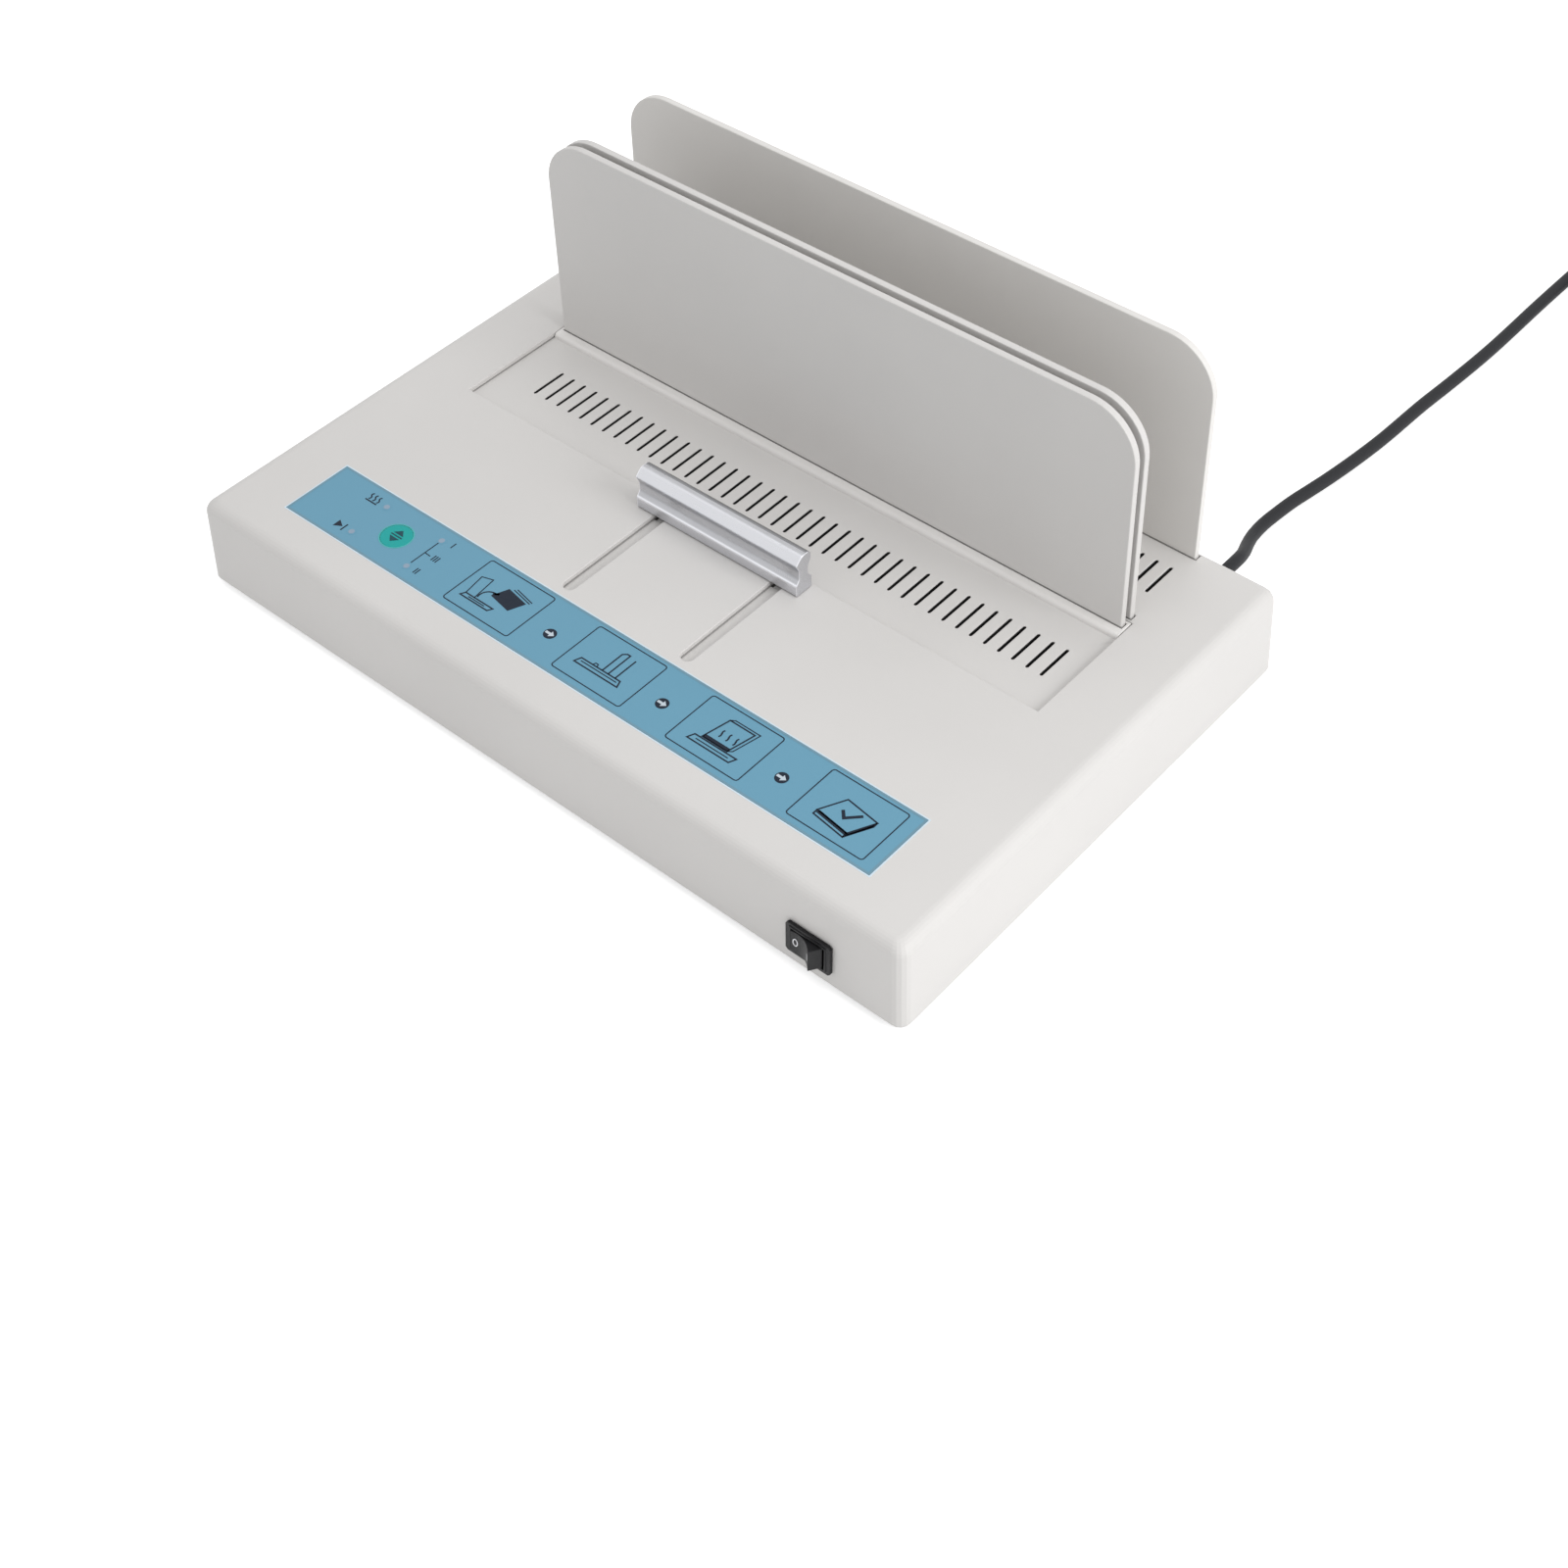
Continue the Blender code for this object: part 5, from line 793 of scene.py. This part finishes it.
def make_floor():
    """A white floor that keeps a faint shadow."""
    build = bmesh.new()
    corners = ((-1, -1), (1, -1), (1, 1), (-1, 1))
    build.faces.new([build.verts.new((FLOOR_REACH * x, FLOOR_REACH * y, 0)) for x, y in corners])
    mesh = bpy.data.meshes.new("floor")
    build.to_mesh(mesh)
    build.free()
    material = bpy.data.materials.new("floor")
    material.use_nodes = True
    tree = material.node_tree
    tree.nodes.clear()
    matt = add_node(tree, "ShaderNodeBsdfDiffuse", {"Color": FLOOR_COLOUR})
    glow = add_node(tree, "ShaderNodeEmission", {"Color": WHITE})
    rays = add_node(tree, "ShaderNodeLightPath")
    seen = larger(tree, rays.outputs["Is Camera Ray"], rays.outputs["Is Glossy Ray"])
    strength = add_node(tree, "ShaderNodeMath", {1: FLOOR_GLOW}, operation="MULTIPLY")
    tree.links.new(seen, strength.inputs[0])
    tree.links.new(strength.outputs[0], glow.inputs["Strength"])
    both = add_node(tree, "ShaderNodeAddShader")
    tree.links.new(matt.outputs[0], both.inputs[0])
    tree.links.new(glow.outputs[0], both.inputs[1])
    end = add_node(tree, "ShaderNodeOutputMaterial")
    tree.links.new(both.outputs[0], end.inputs["Surface"])
    mesh.materials.append(material)
    floor = bpy.data.objects.new("floor", mesh)
    bpy.context.scene.collection.objects.link(floor)


def make_world():
    """An even light all round, which the camera and reflections see as white."""
    world = bpy.data.worlds.new("studio")
    bpy.context.scene.world = world
    world.use_nodes = True
    tree = world.node_tree
    tree.nodes.clear()
    rays = add_node(tree, "ShaderNodeLightPath")
    bounced = larger(tree, rays.outputs["Is Glossy Ray"], rays.outputs["Is Transmission Ray"])
    seen = larger(tree, rays.outputs["Is Camera Ray"], bounced)
    strength = add_node(tree, "ShaderNodeMapRange", {"To Min": SKY_LEVEL, "To Max": 1.0})
    tree.links.new(seen, strength.inputs["Value"])
    sky = add_node(tree, "ShaderNodeBackground", {"Color": WHITE})
    tree.links.new(strength.outputs["Result"], sky.inputs["Strength"])
    end = add_node(tree, "ShaderNodeOutputWorld")
    tree.links.new(sky.outputs[0], end.inputs["Surface"])


def make_lamp(name, place, size, power):
    """A soft square lamp that points at the machine."""
    data = bpy.data.lights.new(name, "AREA")
    data.shape = "SQUARE"
    data.size = size
    data.energy = power
    lamp = bpy.data.objects.new(name, data)
    lamp.location = place
    lamp.rotation_euler = (Vector(LAMP_TARGET) - Vector(place)).to_track_quat("-Z", "Y").to_euler()
    bpy.context.scene.collection.objects.link(lamp)


set_camera()

cover_plastic = make_finish("cover_plastic", linear(216, 214, 212), 0.48)
carriage_plastic = make_finish("carriage_plastic", linear(216, 214, 212), 0.48)
panel_plastic = make_finish("panel_plastic", linear(217, 215, 213), 0.5)
# The plates' plastic painted lighter for the rear plate: painted light that makes up for the shade the
# front plates cast on it
lightened_rear_plastic = make_finish("lightened_rear_plastic", linear(229, 227, 224), 0.5)
rail_plastic = make_finish("rail_plastic", linear(216, 213, 211), 0.5)
rim_plastic = make_finish("rim_plastic", linear(214, 231, 242), 0.45)
black_plastic = make_finish("black_plastic", linear(16, 16, 19), 0.5, gloss_spread=0.08)
black_rubber = make_finish("black_rubber", linear(36, 37, 40), 0.62, grain_scale=3200.0)
steel = make_finish("steel", linear(190, 191, 194), 0.3, 1.0)
dark_steel = make_finish("dark_steel", linear(52, 52, 54), 0.55, 0.6)
aluminium = make_finish("aluminium", linear(244, 245, 250), 0.34, 1.0, stretch=(0.03, 1, 1),
                        gloss_spread=0.1)
brass = make_finish("brass", linear(214, 186, 120), 0.28, 1.0)
label_film = make_finish("label_film", linear(100, 156, 182), 0.42, drift=0.015)
# Painted shade along the inner edge of the control film
film_edge_shade = make_finish("film_edge_shade", linear(108, 148, 167), 0.42)
key_film = make_finish("key_film", linear(18, 164, 160), 0.4, drift=0.02)
key_rim_film = make_finish("key_rim_film", linear(72, 176, 176), 0.4, drift=0.02)
key_ink = make_finish("key_ink", linear(8, 70, 80), 0.45)
ink = make_finish("ink", linear(4, 22, 42), 0.45)
pale_ink = make_finish("pale_ink", linear(196, 208, 218), 0.45)
white_ink = make_finish("white_ink", linear(245, 246, 250), 0.5)
lens_plastic = make_finish("lens_plastic", linear(140, 162, 182), 0.2)
for matt in (black_plastic, black_rubber, key_film, key_ink, ink):
    matt.node_tree.nodes["Principled BSDF"].inputs["Specular IOR Level"].default_value = MATT_SPECULAR
board_green = make_finish("board_green", linear(30, 96, 58), 0.4)
amber_film = make_finish("amber_film", linear(170, 120, 60), 0.3)
fibre_board = make_finish("fibre_board", linear(214, 208, 194), 0.85, drift=0.08, drift_scale=60.0)
strap = make_finish("strap", linear(60, 62, 66), 0.8, grain_scale=1500.0)

shade_cover(cover_plastic)
shade_carriage(carriage_plastic)
shade_plate(panel_plastic)
shade_plate(lightened_rear_plastic)
shade_handle(aluminium)

for names, material, bevel in (
        (("top_cover",), cover_plastic, BROAD_EDGE),
        (("carriage",), carriage_plastic, PLAIN_EDGE),
        (("front_plate", "middle_plate"), panel_plastic, BROAD_EDGE),
        (("rear_plate",), lightened_rear_plastic, BROAD_EDGE),
        (("base_pan",), black_plastic, PLAIN_EDGE),
        (("control_label",), label_film, FILM_EDGE),
        (("select_button",), key_film, KEY_EDGE),
        (LAMP_NODES, lens_plastic, SHARP),
        (("handle_bar",), aluminium, HANDLE_EDGE),
        (("switch_body", "rocker"), black_plastic, SMALL_EDGE),
        (("strain_relief", "foot_front_left", "foot_front_right", "foot_rear_left", "foot_rear_right"),
         black_rubber, SMALL_EDGE),
        (("plug_body",), black_plastic, BROAD_EDGE),
        (("plug_pin_live", "plug_pin_neutral", "plug_pin_earth"), brass, PLAIN_EDGE),
        (("heater_plate", "heater_tray"), dark_steel, SHARP),
        (("handle_spacer_left", "handle_spacer_right", "handle_screw_left", "handle_screw_right",
          "return_spring_left", "return_spring_right",
          "case_screw_front_left", "case_screw_front_right", "case_screw_rear_left",
          "case_screw_rear_right",
          "board_screw_front_left", "board_screw_front_right", "board_screw_rear_left",
          "board_screw_rear_right"), steel, SHARP),
        (("control_board",), board_green, SHARP),
        (("heating_element",), amber_film, SHARP),
        (("insulation_board",), fibre_board, SHARP),
        (("relay", "tact_switch", "thermostat"), black_plastic, SMALL_EDGE),
        (("guide_rail_left", "guide_rail_right", "terminal_block"), rail_plastic, SMALL_EDGE)):
    for name in names:
        dress(name, material, bevel)

make_print(ink, pale_ink, label_film, lens_plastic)
make_label_rim(rim_plastic, film_edge_shade)
make_key_marks(key_rim_film, key_ink)
make_rocker_marks(white_ink)
make_lead(black_rubber, strap)

make_floor()
make_world()
for name, place, size, power in LAMPS:
    make_lamp(name, place, size, power)

scene = bpy.context.scene
scene.view_settings.view_transform = "Standard"
bpy.context.view_layer.update()
